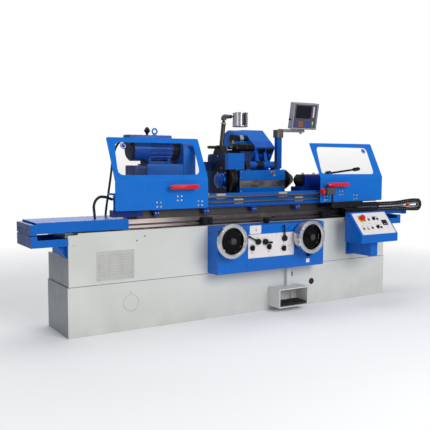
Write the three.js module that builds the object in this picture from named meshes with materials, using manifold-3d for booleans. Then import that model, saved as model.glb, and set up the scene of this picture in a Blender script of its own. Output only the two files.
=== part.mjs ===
// Cylindrical grinding machine: bed with a sliding table and a swivel table, workhead, tailstock,
// sliding splash-guard doors, wheelhead with an internal grinding attachment, controls and a drag chain.
// Lengths are in millimetres. X runs along the table, Y away from the operator and Z up.
import * as THREE from "three";
import { mergeVertices } from "three/addons/utils/BufferGeometryUtils.js";
import Module from "manifold-3d";

const wasm = await Module();
wasm.setup();

// Clearances and counts
const fit = 0.3; // gap between pieces that seat on each other
const overrun = 5; // how far a cut runs past a face
const weld = 2; // how far a welded or cast piece runs into its carrier
const mergeReach = 1e-4;
const fineSides = 28;
const roundSides = 22;
const smallSides = 12;
const gripSides = 16;
const cornerSteps = 3;
const capSteps = 2;
const degree = Math.PI / 180;

// Bed
const bed = {
  length: 3000,
  depth: 430,
  seam: 352,
  body: 690,
  top: 722,
  endInset: 8,
  frontWall: 14,
  notchLength: 80,
  notchDepth: 12,
  seamGroove: 3,
  recessLow: 550,
  recessHigh: 640,
  recessLength: 100,
};
const wing = { left: -170, right: 830, rear: 1350, corner: 60 };
const way = {
  blockFront: 60,
  blockRear: 345,
  veeY: 115,
  veeHalf: 34,
  apexHalf: 4,
  flatY: 275,
  flatHalf: 26,
  lift: 10,
  slideGap: 0.4,
};
const cross = {
  left: 90,
  right: 690,
  front: 440,
  padTop: 770,
  slideUnder: 800,
  veeX: 190,
  flatX: 610,
};
const knockOut = { radius: 62, groove: 4, depth: 2 };
const frontKnock = { x: -1032, z: 198 };
const endKnock = { y: 216, low: 232, high: 461 };
const sightPlug = { x: 642, z: 195, radius: 18, depth: 4 };

// Troughs and way covers at the ends
const trough = {
  floor: 640,
  rim: 690,
  boxTop: 718,
  front: -8,
  rear: 325,
  wall: 4,
  rightReach: 200,
  boxLength: 43,
  flangeLow: 556,
  gussetReach: 64,
  gussetY: 40,
  gussetWide: 6,
};
const cover = {
  inner: 1045,
  reach: 245,
  rightInner: 1120,
  rightReach: 280,
  depth: 330,
  wall: 4,
  capLength: 43,
  capTop: 794,
  capUnder: 724,
  capProud: 4,
  top: 806,
  bulkheadLow: 760,
};

// Tables
const table = {
  left: -1080,
  right: 1150,
  front: 30,
  rear: 320,
  height: 63,
  stepHeight: 15,
  stepDepth: 6,
};
const slot = { z: 757, neck: 14, neckDepth: 14, head: 26, headDepth: 10, play: 1 };
const dog = {
  leftX: -395,
  rightX: 790,
  width: 90,
  low: 735,
  high: 788,
  front: -10,
  corner: 14,
  nutRadius: 17,
  nutProud: 10,
  nutPitch: 44,
};
const swivel = {
  left: -963,
  right: 1037,
  front: 45,
  rear: 295,
  height: 72.7,
  railHalf: 82,
  rimWide: 11,
  rimDrop: 6,
  gutterDrop: 22,
  slotNeck: 14,
  slotDepth: 16,
  slotHead: 24,
  slotHeadDepth: 10,
  pivotX: 37,
  pivotRadius: 24,
  pivotDepth: 16,
};
const workY = 190;
const centreHeight = 180;

// Levels that follow from the heights above
const lowerUnder = bed.top + way.lift;
const lowerTop = lowerUnder + table.height;
const swivelUnder = lowerTop + fit;
const swivelTop = swivelUnder + swivel.height;
const workZ = swivelTop + centreHeight;

// Guard carrier and guide rods
const carrier = {
  left: -1160,
  right: 1385,
  low: 856,
  high: 966,
  sheet: 4,
  lip: 20,
  tabWide: 42,
  tabLow: 815,
  footThick: 5,
  panLeft: -1171,
  panRight: -940,
  panLow: 820,
  panFront: -16,
  endX: -1112,
  endDepth: 112,
  endTop: 985,
  boxLength: 60,
  boxFront: 34,
  boxLow: 912,
  strapLeft: -1158,
  strapThick: 12,
};
const tabPlaces = [-820, -402, 44, 485, 900];
const rod = { radius: 9, y: -38, upperZ: 942, lowerZ: 902, left: -1150, right: 1378 };
const support = { length: 84, base: 40, baseThick: 8, neck: 10, depthIn: 4 };
const upperSupports = [-1040, -275, 324, 1240];
const lowerSupports = [-1100, -111, 492, 1300];

// Doors
const door = {
  y: -60,
  low: 866,
  bend: 1075,
  topY: 95,
  sheet: 3,
  corner: 14,
  blockHalf: 22,
  blockRear: -20,
  slotPlay: 1.5,
  blockLength: 44,
  paneThick: 4,
  paneMargin: 16,
  windowLowY: -41,
};
const leftDoor = {
  left: -1171,
  right: -423,
  high: 1381,
  blocks: [
    [-835, "lower"],
    [-666, "upper"],
    [-492, "lower"],
  ],
  window: [
    [-1138, 1116],
    [-479, 1112],
    [-475, 1344],
    [-1117, 1346],
  ],
  windowCorner: 46,
  handleX: -646,
  handleZ: 1026,
};
const rightDoor = {
  left: 676,
  right: 1394,
  high: 1366,
  blocks: [
    [740, "lower"],
    [907, "upper"],
    [1072, "lower"],
  ],
  window: [
    [704, 1104],
    [1309, 1099],
    [1319, 1328],
    [738, 1334],
  ],
  windowCorner: 34,
  handleX: 838,
  handleZ: 1015,
};
const grip = { length: 240, radius: 17, y: -108, postRadius: 11, postReach: 82, nose: 8 };

// Stop button on its stalk
const stopBox = {
  left: 684,
  right: 776,
  front: -140,
  rear: -85,
  low: 936,
  high: 989,
  corner: 8,
  stalkX: 762,
  stalkRadius: 8,
  footZ: 836,
  footHalf: 22,
  footThick: 7,
};
const mushroom = { radius: 24, height: 30, edge: 8, stem: 7, stemInto: 20, travel: 6 };

// Conduits
const conduit = { outer: 11, root: 9, bore: 6, ribs: 30, sides: 8, boreEvery: 5, end: 22 };
const loopRoute = [
  [-1260, 95, 807.4],
  [-1264, 95, 850],
  [-1267, 94, 900],
  [-1252, 93, 938],
  [-1224, 92, 959],
  [-1190, 90, 960],
  [-1158, 88, 950],
  [-1136, 86, 942],
  [-1113.2, 86, 940],
];
const feedConduit = { radius: 9, sides: 8, steps: 24 };
const feedRoute = [
  [-1096, 300, 807.2],
  [-1092, 300, 850],
  [-1068, 306, 980],
  [-1044, 314, 1111],
  [-1018, 332, 1240],
  [-980, 346, 1330],
  [-930, 350, 1372],
  [-880, 345, 1386],
  [-843, 318, 1386],
  [-840, 286.3, 1386],
];

// Workhead
const workhead = {
  pivotX: -690,
  baseRadius: 118,
  baseHeight: 22,
  left: -946,
  mid: -845,
  right: -540,
  top: 1190,
  leftTop: 1180,
  half: 80,
  corner: 16,
  coverRight: -436,
  coverHalf: 84,
  coverTop: 1352,
  coverCorner: 30,
  bore: 30,
  boreDepth: 110,
};
const spindleNose = { flange: 60, flangeWide: 16, body: 44, bodyWide: 26, tip: 16, tipLength: 46 };
const motor = {
  y: 235,
  z: 1300,
  radius: 84,
  left: -935,
  cowl: 145,
  cowlRadius: 88,
  cowlEdge: 14,
  bodyEnd: -600,
  end: -541,
  endRadius: 80,
  fins: 16,
  finDepth: 7,
  footLeft: -800,
  footRight: -610,
  footFront: 158,
  footRear: 312,
  footThick: 12,
  legWide: 26,
  boxLeft: -955,
  boxRight: -610,
  boxFront: 165,
  boxRear: 285,
  boxTop: 1406,
  boxCorner: 14,
};
const ventKnob = { x: -797, y: 205, radius: 25, neck: 9, height: 62 };
const eyeBolt = { x: -724, y: 225, ring: 20, wire: 7, lift: 29 };

// Tailstock
const tailstock = {
  baseLeft: 615,
  left: 662,
  right: 930,
  half: 70,
  shoulder: 992,
  top: 1097,
  corner: 22,
  boreDepth: 160,
  screwRadius: 11,
  screwHeight: 14,
};
const tailScrews = [690, 812];
const quill = { radius: 30, nose: 50, noseLeft: 600, noseEdge: 28, tipRadius: 16 };
const quillLever = {
  x: 953,
  y: 150,
  z: 1104,
  hub: 22,
  hubWide: 26,
  length: 372,
  rise: 6,
  arm: 9,
  gripRadius: 17,
  gripLength: 86,
};

// Wheelhead
const wheelY = 430;
const head = {
  left: 140,
  right: 620,
  front: 350,
  rear: 880,
  low: 938,
  top: 1133,
  corner: 10,
  bandLow: 987,
  bandHigh: 1045,
  bandDepth: 2,
  slideLeft: 90,
  slideRight: 690,
  slideFront: 450,
  slideRear: 1150,
  bore: 30,
  boreDepth: 60,
  columnLeft: 598,
  columnRight: 648,
  columnFront: 438,
  columnRear: 480,
  columnTop: 1418,
  plateThick: 12,
  plateReach: 16,
  glassX: 481,
  glassZ: 1108,
  glassRadius: 22,
  glassProud: 8,



};
const wheel = {
  radius: 154,
  left: 20,
  width: 50,
  flange: 62,
  flangeProud: 6,
  recess: 5,
  recessRadius: 95,
  spindle: 30,
};
const guard = {
  left: 4,
  right: 84,
  front: 350,
  rear: 653,
  low: 876,
  high: 1270,
  wall: 6,
  rimLowFront: 420,
  corner: 30,
  hubRadius: 67,
  hubProud: 24,
  holeRadius: 40,
  hoodLeft: -10,
  hoodRight: 149,
  hoodFront: 300,
  hoodLow: 1142,
  hoodHigh: 1276,
  neckRadius: 72,
};
const belt = {
  left: 620,
  right: 655,
  small: 78,
  large: 98,
  domeRadius: 88,
  domeRim: 14,
  domeTip: 758,
  noseRadius: 20,
};
const wheelMotor = {
  y: 1010,
  z: 1060,
  radius: 92,
  left: 210,
  cowl: 90,
  fins: 14,
  finDepth: 7,
  footLeft: 270,
  footRight: 540,
  footHalf: 84,
  footThick: 18,
};
const internal = {
  left: 332,
  right: 545,
  hingeY: 380,
  hingeZ: 1178,
  barrel: 30,
  barrelLeft: 250,
  barrelRight: 500,
  bandLeft: 318,
  bandRight: 392,
  bandProud: 3,
  earLeft: 205,
  earRight: 530,
  earHalf: 30,
  noseY: 400,
  noseZ: 1330,
  chinY: 490,
  chinZ: 1180,
  crestY: 590,
  crestZ: 1485,
  rearY: 700,
  seamY: 470,
  motorY: 600,
  motorZ: 1395,
  motorRadius: 85,
  motorLeft: 172,
  pulleyY: 540,
  pulleyZ: 1405,
  pulleyRadius: 31,
  pulleyLeft: 224,
  spindleY: 440,
  spindleZ: 1327,
  spindleRadius: 33,
  spindleLeft: 86,
  nose: 15,
  noseLength: 26,
  journal: 20,
  journalDepth: 46,
  lugWide: 30,
};
const lugPlaces = [345, 435];
const faceKnobs = [
  { x: 400, share: 0.17, radius: 20 },
  { x: 490, share: 0.17, radius: 20 },
  { x: 392, share: 0.58, radius: 12 },
  { x: 494, share: 0.58, radius: 12 },
];
const faceKnobHeight = 24;

// Lamp and readout
const lamp = {
  left: 12,
  right: 70,
  webFront: 400,
  webRear: 582,
  webTop: 1344,
  apexY: 508,
  apexHalf: 26,
  barLeft: -79,
  barY: 500,
  barZ: 1327,
  barRadius: 13,
  postRadius: 19,
  footX: 60,
  footY: 524,
  topX: 92,
  topY: 535,
  topZ: 1538,
  ball: 23,
  armRadius: 14,
  armZ: 1590,
  armTurn: 157,
  armBall: 17,
  headX: 206,
  headY: 452,
  headZ: 1564,
  headRadius: 65,
  headHalf: 61,
  rimProud: 4,
  rimWide: 9,






};
const readout = {
  clampHalf: 36,
  clampHigh: 70,
  barZ: 1483,
  barY: 452,
  barRadius: 14,
  barEnd: 908,
  footX: 872,
  footRadius: 9,
  footDrop: 26,
  boxX: 885,
  boxWide: 283,
  boxHigh: 238,
  boxDeep: 58,
  boxLift: 18,
  boxCorner: 8,
  bezel: 6,
  bezelDeep: 3,
  tilt: 10,
  lugHalf: 22,
  knobRadius: 7,
  knobProud: 20,
  knobShare: 0.36,
};

// Apron and its controls
const apron = {
  left: -390,
  right: 640,
  front: -150,
  low: 360,
  top: 721,
  corner: 12,
  seamX: -125,
  seamWide: 3,
  seamDepth: 2,
  postX: 130,
  postZ: 745,
  postHalf: 18,
  postFront: -44,
  postRear: -26,
  pinRadius: 6,
  pinFront: -82,
  lockX: 472,
  lockZ: 453,
  lockRadius: 13,
  lockProud: 26,
};
const handwheel = {
  bossRadius: 36,
  bossProud: 16,
  shaft: 14,
  capRadius: 20,
  capThick: 6,
  rimRadius: 132,
  rimInner: 98,
  rimEdge: 8,
  hub: 26,
  webThick: 7,
};
const tableWheel = { x: -303, z: 619, rimDepth: 34, reach: 64, rimStart: 30 };
const feedWheel = { x: 424, z: 613, rimDepth: 44, reach: 104, rimStart: 60, dial: 116, dialStart: 2 };
const crank = { x: -66, z: -60, half: 32, radius: 8, postRadius: 9 };
const lever = { hub: 23, hubHigh: 26, arm: 6, ball: 9, armLift: 16 };
const throttle = { x: -29, z: 593, dx: -88, dz: 44 };
const starter = { x: 39, z: 588, dx: 58, dz: -8 };
const feeder = { x: 227, z: 605, dx: -8, dz: 100 };
const reverser = { dx: 58, dz: 22 };
const dialKnob = { radius: 21, baseHigh: 8, barHalf: 6, barHigh: 24 };
const apronKnobs = [
  { name: "knob_speed_left", x: -80, z: 547 },
  { name: "knob_speed_right", x: 79, z: 547 },
  { name: "knob_dwell", x: 224, z: 525 },
];

// Pedal
const pedalHouse = {
  left: 190,
  right: 485,
  front: -150,
  low: 38,
  high: 192,
  wall: 9,
  ductLeft: 353,
  ductRight: 397,
  ductFront: -34,
};
const pedal = {
  gap: 6,
  front: -144,
  rear: -34,
  pinY: -26,
  pinZ: 66,
  pinRadius: 5,
  barrel: 11,
  thick: 14,
  rib: 5,
  ribs: 8,
  rodRadius: 4,
  rodTop: 176,
  rodInShare: 0.28,
};

// Console
const consoleBox = {
  left: 877,
  right: 1295,
  rear: -150,
  front: -350,
  slopeTopY: -195,
  topZ: 781,
  lipZ: 603,
  frontLow: 537,
  rearLow: 533,
  armLeft: 1045,
  armRight: 1125,
  armFront: -285,
  armLow: 412,
  flangeReach: 15,
  flangeThick: 8,
};
const stopPlace = { x: 968, down: 71, collar: 25, collarHigh: 3 };
const selectorPlaces = [
  { name: "selector_upper", x: 1111, down: 74 },
  { name: "selector_lower", x: 1107, down: 161 },
];
const selector = { radius: 13, baseHigh: 5, barHalf: 5, barHigh: 18 };
const panelButtons = [
  [1000, 84],
  [1051, 80],
  [1152, 79],
  [943, 170],
  [994, 170],
  [1044, 166],
  [1145, 166],
];
const panelButton = { radius: 9, high: 6 };

// Drag chain
const chain = {
  y: -60,
  upperZ: 835,
  lowerZ: 789,
  tail: 30,
  play: 0.5,
  wall: 3,
  upperLeft: 1000,
  upperRight: 1330,
  lowerLeft: 950,
  lowerRight: 1250,
  upperTailEnd: 1050,
  lowerTailEnd: 1040,
  bulgeX: 1515,
  loopX: 1846,
  loopRadius: 41,
  pitch: 50,
  groove: 3,
  grooveDepth: 1.2,
  bracketLeft: 1058,
  bracketRight: 1108,
  bracketThick: 5,
  bracketLow: 742,
  trayLeft: 1000,
  trayRight: 1240,
  trayLow: 700,
  trayThick: 4,
};

// Solids: geometries are turned into closed solids, joined and cut.
function solidOf(geometry, matrix) {
  const bare = geometry.index ? geometry.toNonIndexed() : geometry.clone();
  bare.deleteAttribute("normal");
  bare.deleteAttribute("uv");
  if (matrix) bare.applyMatrix4(matrix);
  const merged = mergeVertices(bare, mergeReach);
  const vertProperties = merged.attributes.position.array;
  const make = (triVerts) => new wasm.Manifold(new wasm.Mesh({ numProp: 3, vertProperties, triVerts }));
  const triVerts = new Uint32Array(merged.index.array);
  const made = make(triVerts);
  return made.volume() > 0 ? made : make(triVerts.reverse());
}

const join = (...solids) => solids.reduce((whole, next) => whole.add(next));
const cut = (solid, ...tools) => tools.reduce((whole, next) => whole.subtract(next), solid);
const around = (centre, half) => [centre - half, centre + half];

// The three directions of a solid that lies along an axis: across, across, along.
const U = { x: [0, 1, 0], y: [1, 0, 0], z: [1, 0, 0] };
const V = { x: [0, 0, 1], y: [0, 0, 1], z: [0, 1, 0] };
const W = { x: [1, 0, 0], y: [0, 1, 0], z: [0, 0, 1] };
const vector = (values) => new THREE.Vector3(...values);

function block([x0, x1], [y0, y1], [z0, z1], matrix) {
  const box = new THREE.BoxGeometry(x1 - x0, y1 - y0, z1 - z0);
  return solidOf(box.translate((x0 + x1) / 2, (y0 + y1) / 2, (z0 + z1) / 2), matrix);
}

// An outline in the plane across the axis, drawn out along it.
function prism(axis, outline, [low, high], matrix) {
  const shape = outline instanceof THREE.Shape ? outline : new THREE.Shape(outline.map(([u, v]) => new THREE.Vector2(u, v)));
  const geometry = new THREE.ExtrudeGeometry(shape, {
    depth: high - low,
    bevelEnabled: false,
    curveSegments: cornerSteps,
  });
  const basis = new THREE.Matrix4().makeBasis(vector(U[axis]), vector(V[axis]), vector(W[axis]));
  basis.setPosition(vector(W[axis]).multiplyScalar(low));
  return solidOf(geometry.applyMatrix4(basis), matrix);
}

// A profile of [radius, place along the axis] turned about an axis through [u, v].
function turned(axis, [u, v], profile, sides, matrix) {
  const points = profile.map(([radius, along]) => new THREE.Vector2(radius, along));
  const geometry = new THREE.LatheGeometry(points, sides);
  const basis = new THREE.Matrix4().makeBasis(vector(U[axis]), vector(W[axis]), vector(V[axis]));
  const place = vector(U[axis]).multiplyScalar(u).add(vector(V[axis]).multiplyScalar(v));
  return solidOf(geometry.applyMatrix4(basis.setPosition(place)), matrix);
}

function drum(axis, centre, radius, [low, high], sides = roundSides, matrix) {
  const profile = [
    [0, low],
    [radius, low],
    [radius, high],
    [0, high],
  ];
  return turned(axis, centre, profile, sides, matrix);
}

// A hole wide enough for its flats to clear a shaft of the same radius at every turn
const boreRadius = (radius, sides) => (radius + fit) / Math.cos(Math.PI / sides);

function bore(axis, centre, radius, span, sides = roundSides, matrix) {
  return drum(axis, centre, boreRadius(radius, sides), span, sides, matrix);
}

// A round bar with domed ends from one point to another.
function bar(from, to, radius, sides = smallSides) {
  const start = vector(from);
  const run = vector(to).sub(start);
  const geometry = new THREE.CapsuleGeometry(radius, run.length(), capSteps, sides);
  const turn = new THREE.Quaternion().setFromUnitVectors(vector([0, 1, 0]), run.clone().normalize());
  const matrix = new THREE.Matrix4().makeRotationFromQuaternion(turn);
  return solidOf(geometry, matrix.setPosition(start.addScaledVector(run, 1 / 2)));
}

function ball([x, y, z], radius, sides = smallSides) {
  return solidOf(new THREE.SphereGeometry(radius, sides, sides / 2).translate(x, y, z));
}

// A closed outline whose corners are rounded; radii may differ from corner to corner.
function rounded(points, radius) {
  const shape = new THREE.Shape();
  const corners = points.map(([u, v]) => new THREE.Vector2(u, v));
  corners.forEach((corner, i) => {
    const reach = Array.isArray(radius) ? radius[i] : radius;
    const before = corners[(i + corners.length - 1) % corners.length];
    const after = corners[(i + 1) % corners.length];
    const enter = before.clone().sub(corner).setLength(reach).add(corner);
    const leave = after.clone().sub(corner).setLength(reach).add(corner);
    if (i === 0) shape.moveTo(enter.x, enter.y);
    else shape.lineTo(enter.x, enter.y);
    if (reach > 0) shape.quadraticCurveTo(corner.x, corner.y, leave.x, leave.y);
  });
  shape.closePath();
  return shape;
}

const rectangle = ([u0, u1], [v0, v1]) => [
  [u0, v0],
  [u1, v0],
  [u1, v1],
  [u0, v1],
];

// Machine coordinates to a tree of named meshes.
const machine = new THREE.Group();

function paint(color, roughness, metalness = 0) {
  return () => new THREE.MeshStandardMaterial({ color, roughness, metalness });
}
const blue = paint(0x1a69c8, 0.42);
const navy = paint(0x143282, 0.45);
const lightGrey = paint(0xc3c4c0, 0.55);
const castGrey = paint(0x4b4846, 0.5, 0.5);
const steel = paint(0xb4b2ae, 0.3, 0.9);
const black = paint(0x16171a, 0.5);
const red = paint(0xdc1923, 0.35);
const clear = paint(0xdfe6ea, 0.1);
const abrasive = paint(0x8d8a86, 0.95);
const rubber = paint(0x1b1b1c, 0.85);
const readoutGrey = paint(0x8b9098, 0.4);

function part(name, solid, finish, carrierGroup = machine) {
  const { numProp, vertProperties, triVerts } = solid.getMesh();
  const geometry = new THREE.BufferGeometry();
  const corners = new Float32Array(triVerts.length * 3);
  triVerts.forEach((vertex, i) => {
    for (let k = 0; k < 3; k += 1) corners[i * 3 + k] = vertProperties[vertex * numProp + k];
  });
  geometry.setAttribute("position", new THREE.BufferAttribute(corners, 3));
  geometry.computeVertexNormals();
  const mesh = new THREE.Mesh(geometry, finish());
  mesh.name = name;
  carrierGroup.add(mesh);
  return mesh;
}

// A frame with its own origin and, on a leaning panel, its own turn about X.
function frameAt([x, y, z], turn = 0) {
  const group = new THREE.Group();
  group.position.set(x, y, z);
  group.rotation.x = turn;
  machine.add(group);
  return group;
}

// Bed

function teeOutline(inset) {
  const half = bed.length / 2 - inset;
  const outline = [
    [-half, 0],
    [half, 0],
    [half, bed.depth],
    [wing.right, bed.depth],
    [wing.right, wing.rear],
    [wing.left, wing.rear],
    [wing.left, bed.depth],
    [-half, bed.depth],
  ];
  return rounded(outline, [0, 0, 0, 0, wing.corner, wing.corner, 0, 0]);
}

// A ridge with sloping sides, its apex cut flat; grow opens the groove that runs over it.
function veeRidge(centre, base, height, grow) {
  const low = way.veeHalf + grow;
  const high = way.apexHalf + grow;
  return [
    [centre - low, base],
    [centre + low, base],
    [centre + high, base + height + grow],
    [centre - high, base + height + grow],
  ];
}

function ringGroove(axis, centre, face) {
  const span = [face - overrun, face + knockOut.depth];
  const outer = drum(axis, centre, knockOut.radius, span, roundSides);
  return cut(outer, drum(axis, centre, knockOut.radius - knockOut.groove, span, roundSides));
}

function bedSolid() {
  const half = bed.length / 2;
  const inner = half - bed.endInset;
  const veeHeight = way.veeHalf - way.apexHalf;
  const body = join(
    prism("z", teeOutline(0), [0, bed.seam]),
    prism("z", teeOutline(bed.endInset), [bed.seam - weld, bed.body]),
    block(around(0, inner), [0, bed.frontWall], [bed.body - weld, bed.top]),
    block(around(0, inner), [way.blockFront, way.blockRear], [bed.body - weld, bed.top]),
    prism("x", veeRidge(way.veeY, bed.top - weld, veeHeight, 0), around(0, inner)),
    block(around(0, inner), around(way.flatY, way.flatHalf), [bed.top - weld, lowerUnder - fit]),
    block([cross.left, cross.right], [cross.front, wing.rear - wing.corner], [bed.body - weld, cross.padTop]),
    prism("y", veeRidge(cross.veeX, cross.padTop - weld, veeHeight, 0), [cross.front, wing.rear - wing.corner]),
    block(
      around(cross.flatX, way.flatHalf),
      [cross.front, wing.rear - wing.corner],
      [cross.padTop - weld, cross.slideUnder - fit],
    ),
  );
  const grooveHalf = bed.seamGroove / 2;
  return cut(
    body,
    block([-half - overrun, bed.notchLength - half], [-overrun, bed.frontWall], [bed.top - bed.notchDepth, bed.top + overrun]),
    block(around(0, half + overrun), [-overrun, bed.seamGroove], around(bed.seam, grooveHalf)),
    block([-half - overrun, bed.recessLength - half], [bed.frontWall, bed.depth + overrun], [bed.recessLow, bed.recessHigh]),
    ringGroove("y", [frontKnock.x, frontKnock.z], 0),
    ringGroove("x", [endKnock.y, endKnock.low], -half),
    ringGroove("x", [endKnock.y, endKnock.high], -inner),
    drum("y", [sightPlug.x, sightPlug.z], sightPlug.radius, [-overrun, sightPlug.depth]),
  );
}

// A span given from the bed's end outwards, on the left (side -1) or on the right (side 1).
const sided = (side, a, b) => (side > 0 ? [a, b] : [-b, -a]);

function troughSolid(side, reach) {
  const end = bed.length / 2 - bed.endInset + fit;
  const outer = bed.length / 2 + reach;
  const { floor, rim, front, rear, wall } = trough;
  const section = [
    [front, floor],
    [rear, floor],
    [rear, rim],
    [rear - wall, rim],
    [rear - wall, floor + wall],
    [front + wall, floor + wall],
    [front + wall, rim],
    [front, rim],
  ];
  const gusset = [
    [side * end, floor + weld],
    [side * end, trough.flangeLow],
    [side * (end + wall), trough.flangeLow],
    [side * (end + wall + trough.gussetReach), floor + weld],
  ];
  return join(
    prism("x", section, sided(side, end, outer)),
    block(sided(side, outer - trough.boxLength, outer), [front, rear], [floor, trough.boxTop]),
    block(sided(side, end, end + wall), [wall, rear], [trough.flangeLow, rim]),
    prism("y", gusset, around(trough.gussetY, trough.gussetWide / 2)),
  );
}

function coverSolid(side, inner, outer) {
  const { depth, wall, top } = cover;
  const section = [
    [0, lowerUnder],
    [wall, lowerUnder],
    [wall, top - wall],
    [depth - wall, top - wall],
    [depth - wall, lowerUnder],
    [depth, lowerUnder],
    [depth, top],
    [0, top],
  ];
  const cap = block(
    sided(side, outer - cover.capLength, outer),
    [-cover.capProud, depth - cover.capProud],
    [cover.capUnder, cover.capTop],
  );
  const tableEnd = (side > 0 ? table.right : -table.left) + fit;
  const bulkhead = block(sided(side, tableEnd, tableEnd + wall), [wall / 2, depth - wall / 2], [cover.bulkheadLow, top - wall / 2]);
  const passage = block(
    sided(side, outer - cover.capLength - overrun, outer + overrun),
    [way.blockFront, way.flatY + way.flatHalf + wall],
    [cover.capUnder - overrun, cover.bulkheadLow],
  );
  const end = cut(cap, passage);
  return join(prism("x", section, sided(side, inner, outer - cover.capLength + weld)), end, bulkhead);
}

// Tables

function lowerTableSolid() {
  const veeHeight = way.veeHalf - way.apexHalf;
  const { front, rear, stepDepth, stepHeight } = table;
  const outline = [
    [front, lowerUnder],
    [rear, lowerUnder],
    [rear, lowerTop],
    [front + stepDepth, lowerTop],
    [front + stepDepth, lowerTop - stepHeight],
    [front, lowerTop - stepHeight],
  ];
  const cutSpan = [table.left - overrun, table.right + overrun];
  const headFront = front + slot.neckDepth;
  return cut(
    prism("x", outline, [table.left, table.right]),
    prism("x", veeRidge(way.veeY, bed.top, veeHeight, way.slideGap), cutSpan),
    block(cutSpan, [front - overrun, headFront + slot.play], around(slot.z, slot.neck / 2)),
    block(cutSpan, [headFront, headFront + slot.headDepth], around(slot.z, slot.head / 2)),
    bore("z", [swivel.pivotX, workY], swivel.pivotRadius, [lowerTop - swivel.pivotDepth, lowerTop + overrun]),
  );
}

function dogSolid(x) {
  const half = dog.width / 2;
  const back = table.front - fit;
  const headFront = table.front + slot.neckDepth + slot.play;
  const midZ = (dog.low + dog.high) / 2;
  const nuts = [-1, 1].map((side) =>
    drum("y", [x + (side * dog.nutPitch) / 2, midZ], dog.nutRadius, [dog.front - dog.nutProud, dog.front + weld], smallSides),
  );
  return join(
    prism("y", rounded(rectangle(around(x, half), [dog.low, dog.high]), dog.corner), [dog.front, back]),
    block(around(x, half / 2), [back - weld, headFront + weld], around(slot.z, slot.neck / 2 - slot.play)),
    block(around(x, half / 2), [headFront, headFront + slot.headDepth - 2 * slot.play], around(slot.z, slot.head / 2 - slot.play)),
    ...nuts,
  );
}

function swivelTableSolid() {
  const { front, rear, rimWide, railHalf } = swivel;
  const rim = swivelTop - swivel.rimDrop;
  const gutter = swivelTop - swivel.gutterDrop;
  const outline = [
    [front, swivelUnder],
    [rear, swivelUnder],
    [rear, rim],
    [rear - rimWide, rim],
    [rear - rimWide, gutter],
    [workY + railHalf, gutter],
    [workY + railHalf, swivelTop],
    [workY - railHalf, swivelTop],
    [workY - railHalf, gutter],
    [front + rimWide, gutter],
    [front + rimWide, rim],
    [front, rim],
  ];
  const cutSpan = [swivel.left - overrun, swivel.right + overrun];
  const headTop = swivelTop - swivel.slotDepth + weld;
  const pivot = drum("z", [swivel.pivotX, workY], swivel.pivotRadius, [swivelUnder - swivel.pivotDepth + slot.play, swivelUnder + weld]);
  return cut(
    join(prism("x", outline, [swivel.left, swivel.right]), pivot),
    block(cutSpan, around(workY, swivel.slotNeck / 2), [headTop - weld, swivelTop + overrun]),
    block(cutSpan, around(workY, swivel.slotHead / 2), [headTop - swivel.slotHeadDepth, headTop]),
  );
}

// Guard carrier: a bent sheet on tabs, with the end pan, the end plate and its junction box.
function carrierSolid() {
  const { low, high, sheet, lip } = carrier;
  const back = swivel.front - fit;
  const section = [
    [0, low],
    [sheet, low],
    [sheet, high - sheet],
    [lip, high - sheet],
    [lip, high],
    [0, high],
  ];
  const tabs = tabPlaces.map((x) => {
    const wide = around(x, carrier.tabWide / 2);
    const foot = block(wide, [0, back], [carrier.tabLow, carrier.tabLow + carrier.footThick]);
    return join(block(wide, [0, sheet], [carrier.tabLow, low + weld]), foot);
  });
  const pan = block([carrier.panLeft, carrier.panRight], [carrier.panFront, back], [carrier.panLow, swivelTop]);
  const end = block([carrier.endX, carrier.endX + sheet], [0, carrier.endDepth], [low, carrier.endTop]);
  const deep = [carrier.boxFront, carrier.endDepth];
  const box = block([carrier.endX, carrier.endX + carrier.boxLength], deep, [carrier.boxLow, carrier.endTop]);
  const strap = block([carrier.strapLeft, carrier.endX + weld], deep, [carrier.endTop - carrier.strapThick, carrier.endTop]);
  return join(prism("x", section, [carrier.left, carrier.right]), ...tabs, pan, end, box, strap);
}

function guideRodSolid(z, places) {
  const rodBack = rod.y + rod.radius;
  const supports = places.map((x) => {
    const long = around(x, support.length / 2);
    const base = block(long, [-support.baseThick, -fit], around(z, support.base / 2));
    const neck = block(long, [rodBack - support.depthIn, -support.baseThick + weld], around(z, support.neck / 2));
    return join(base, neck);
  });
  return join(drum("x", [rod.y, z], rod.radius, [rod.left, rod.right], smallSides), ...supports);
}

// Doors: a sheet bent once, with a window; open bearing blocks ride on the rods.

function leanOf(size) {
  const lean = new THREE.Vector2(door.topY - door.y, size.high - door.bend).normalize();
  return { along: lean, inward: new THREE.Vector2(lean.y, -lean.x) };
}

// The bent section of a sheet that lies from one depth to another behind the door's front face.
function bentSection(size, depth, thick) {
  const { inward } = leanOf(size);
  const drop = Math.tan(Math.asin(-inward.y) / 2);
  const edge = (back) => [
    [door.y + back, door.low],
    [door.y + back, door.bend - back * drop],
    [door.topY + back * inward.x, size.high + back * inward.y],
  ];
  return [...edge(depth), ...edge(depth + thick).reverse()];
}

function doorSolid(size) {
  const sheet = prism("x", bentSection(size, 0, door.sheet), [size.left, size.right]);
  const outline = rectangle([size.left, size.right], [door.low, size.high]);
  const face = prism("y", rounded(outline, door.corner), [door.y - overrun, door.topY + overrun]);
  const window = prism("y", rounded(size.window, size.windowCorner), [door.y - overrun, door.topY + overrun]);
  const blocks = size.blocks.map(([x, which]) => {
    const z = which === "upper" ? rod.upperZ : rod.lowerZ;
    const long = around(x, door.blockLength / 2);
    const body = block(long, [door.y + door.sheet - weld, door.blockRear], around(z, door.blockHalf));
    const through = [x - door.blockLength, x + door.blockLength];
    return cut(
      body,
      bore("x", [rod.y, z], rod.radius, through, smallSides),
      block(through, [rod.y, door.blockRear + overrun], around(z, support.neck / 2 + door.slotPlay)),
    );
  });
  return join(cut(sheet.intersect(face), window), ...blocks);
}

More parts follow.
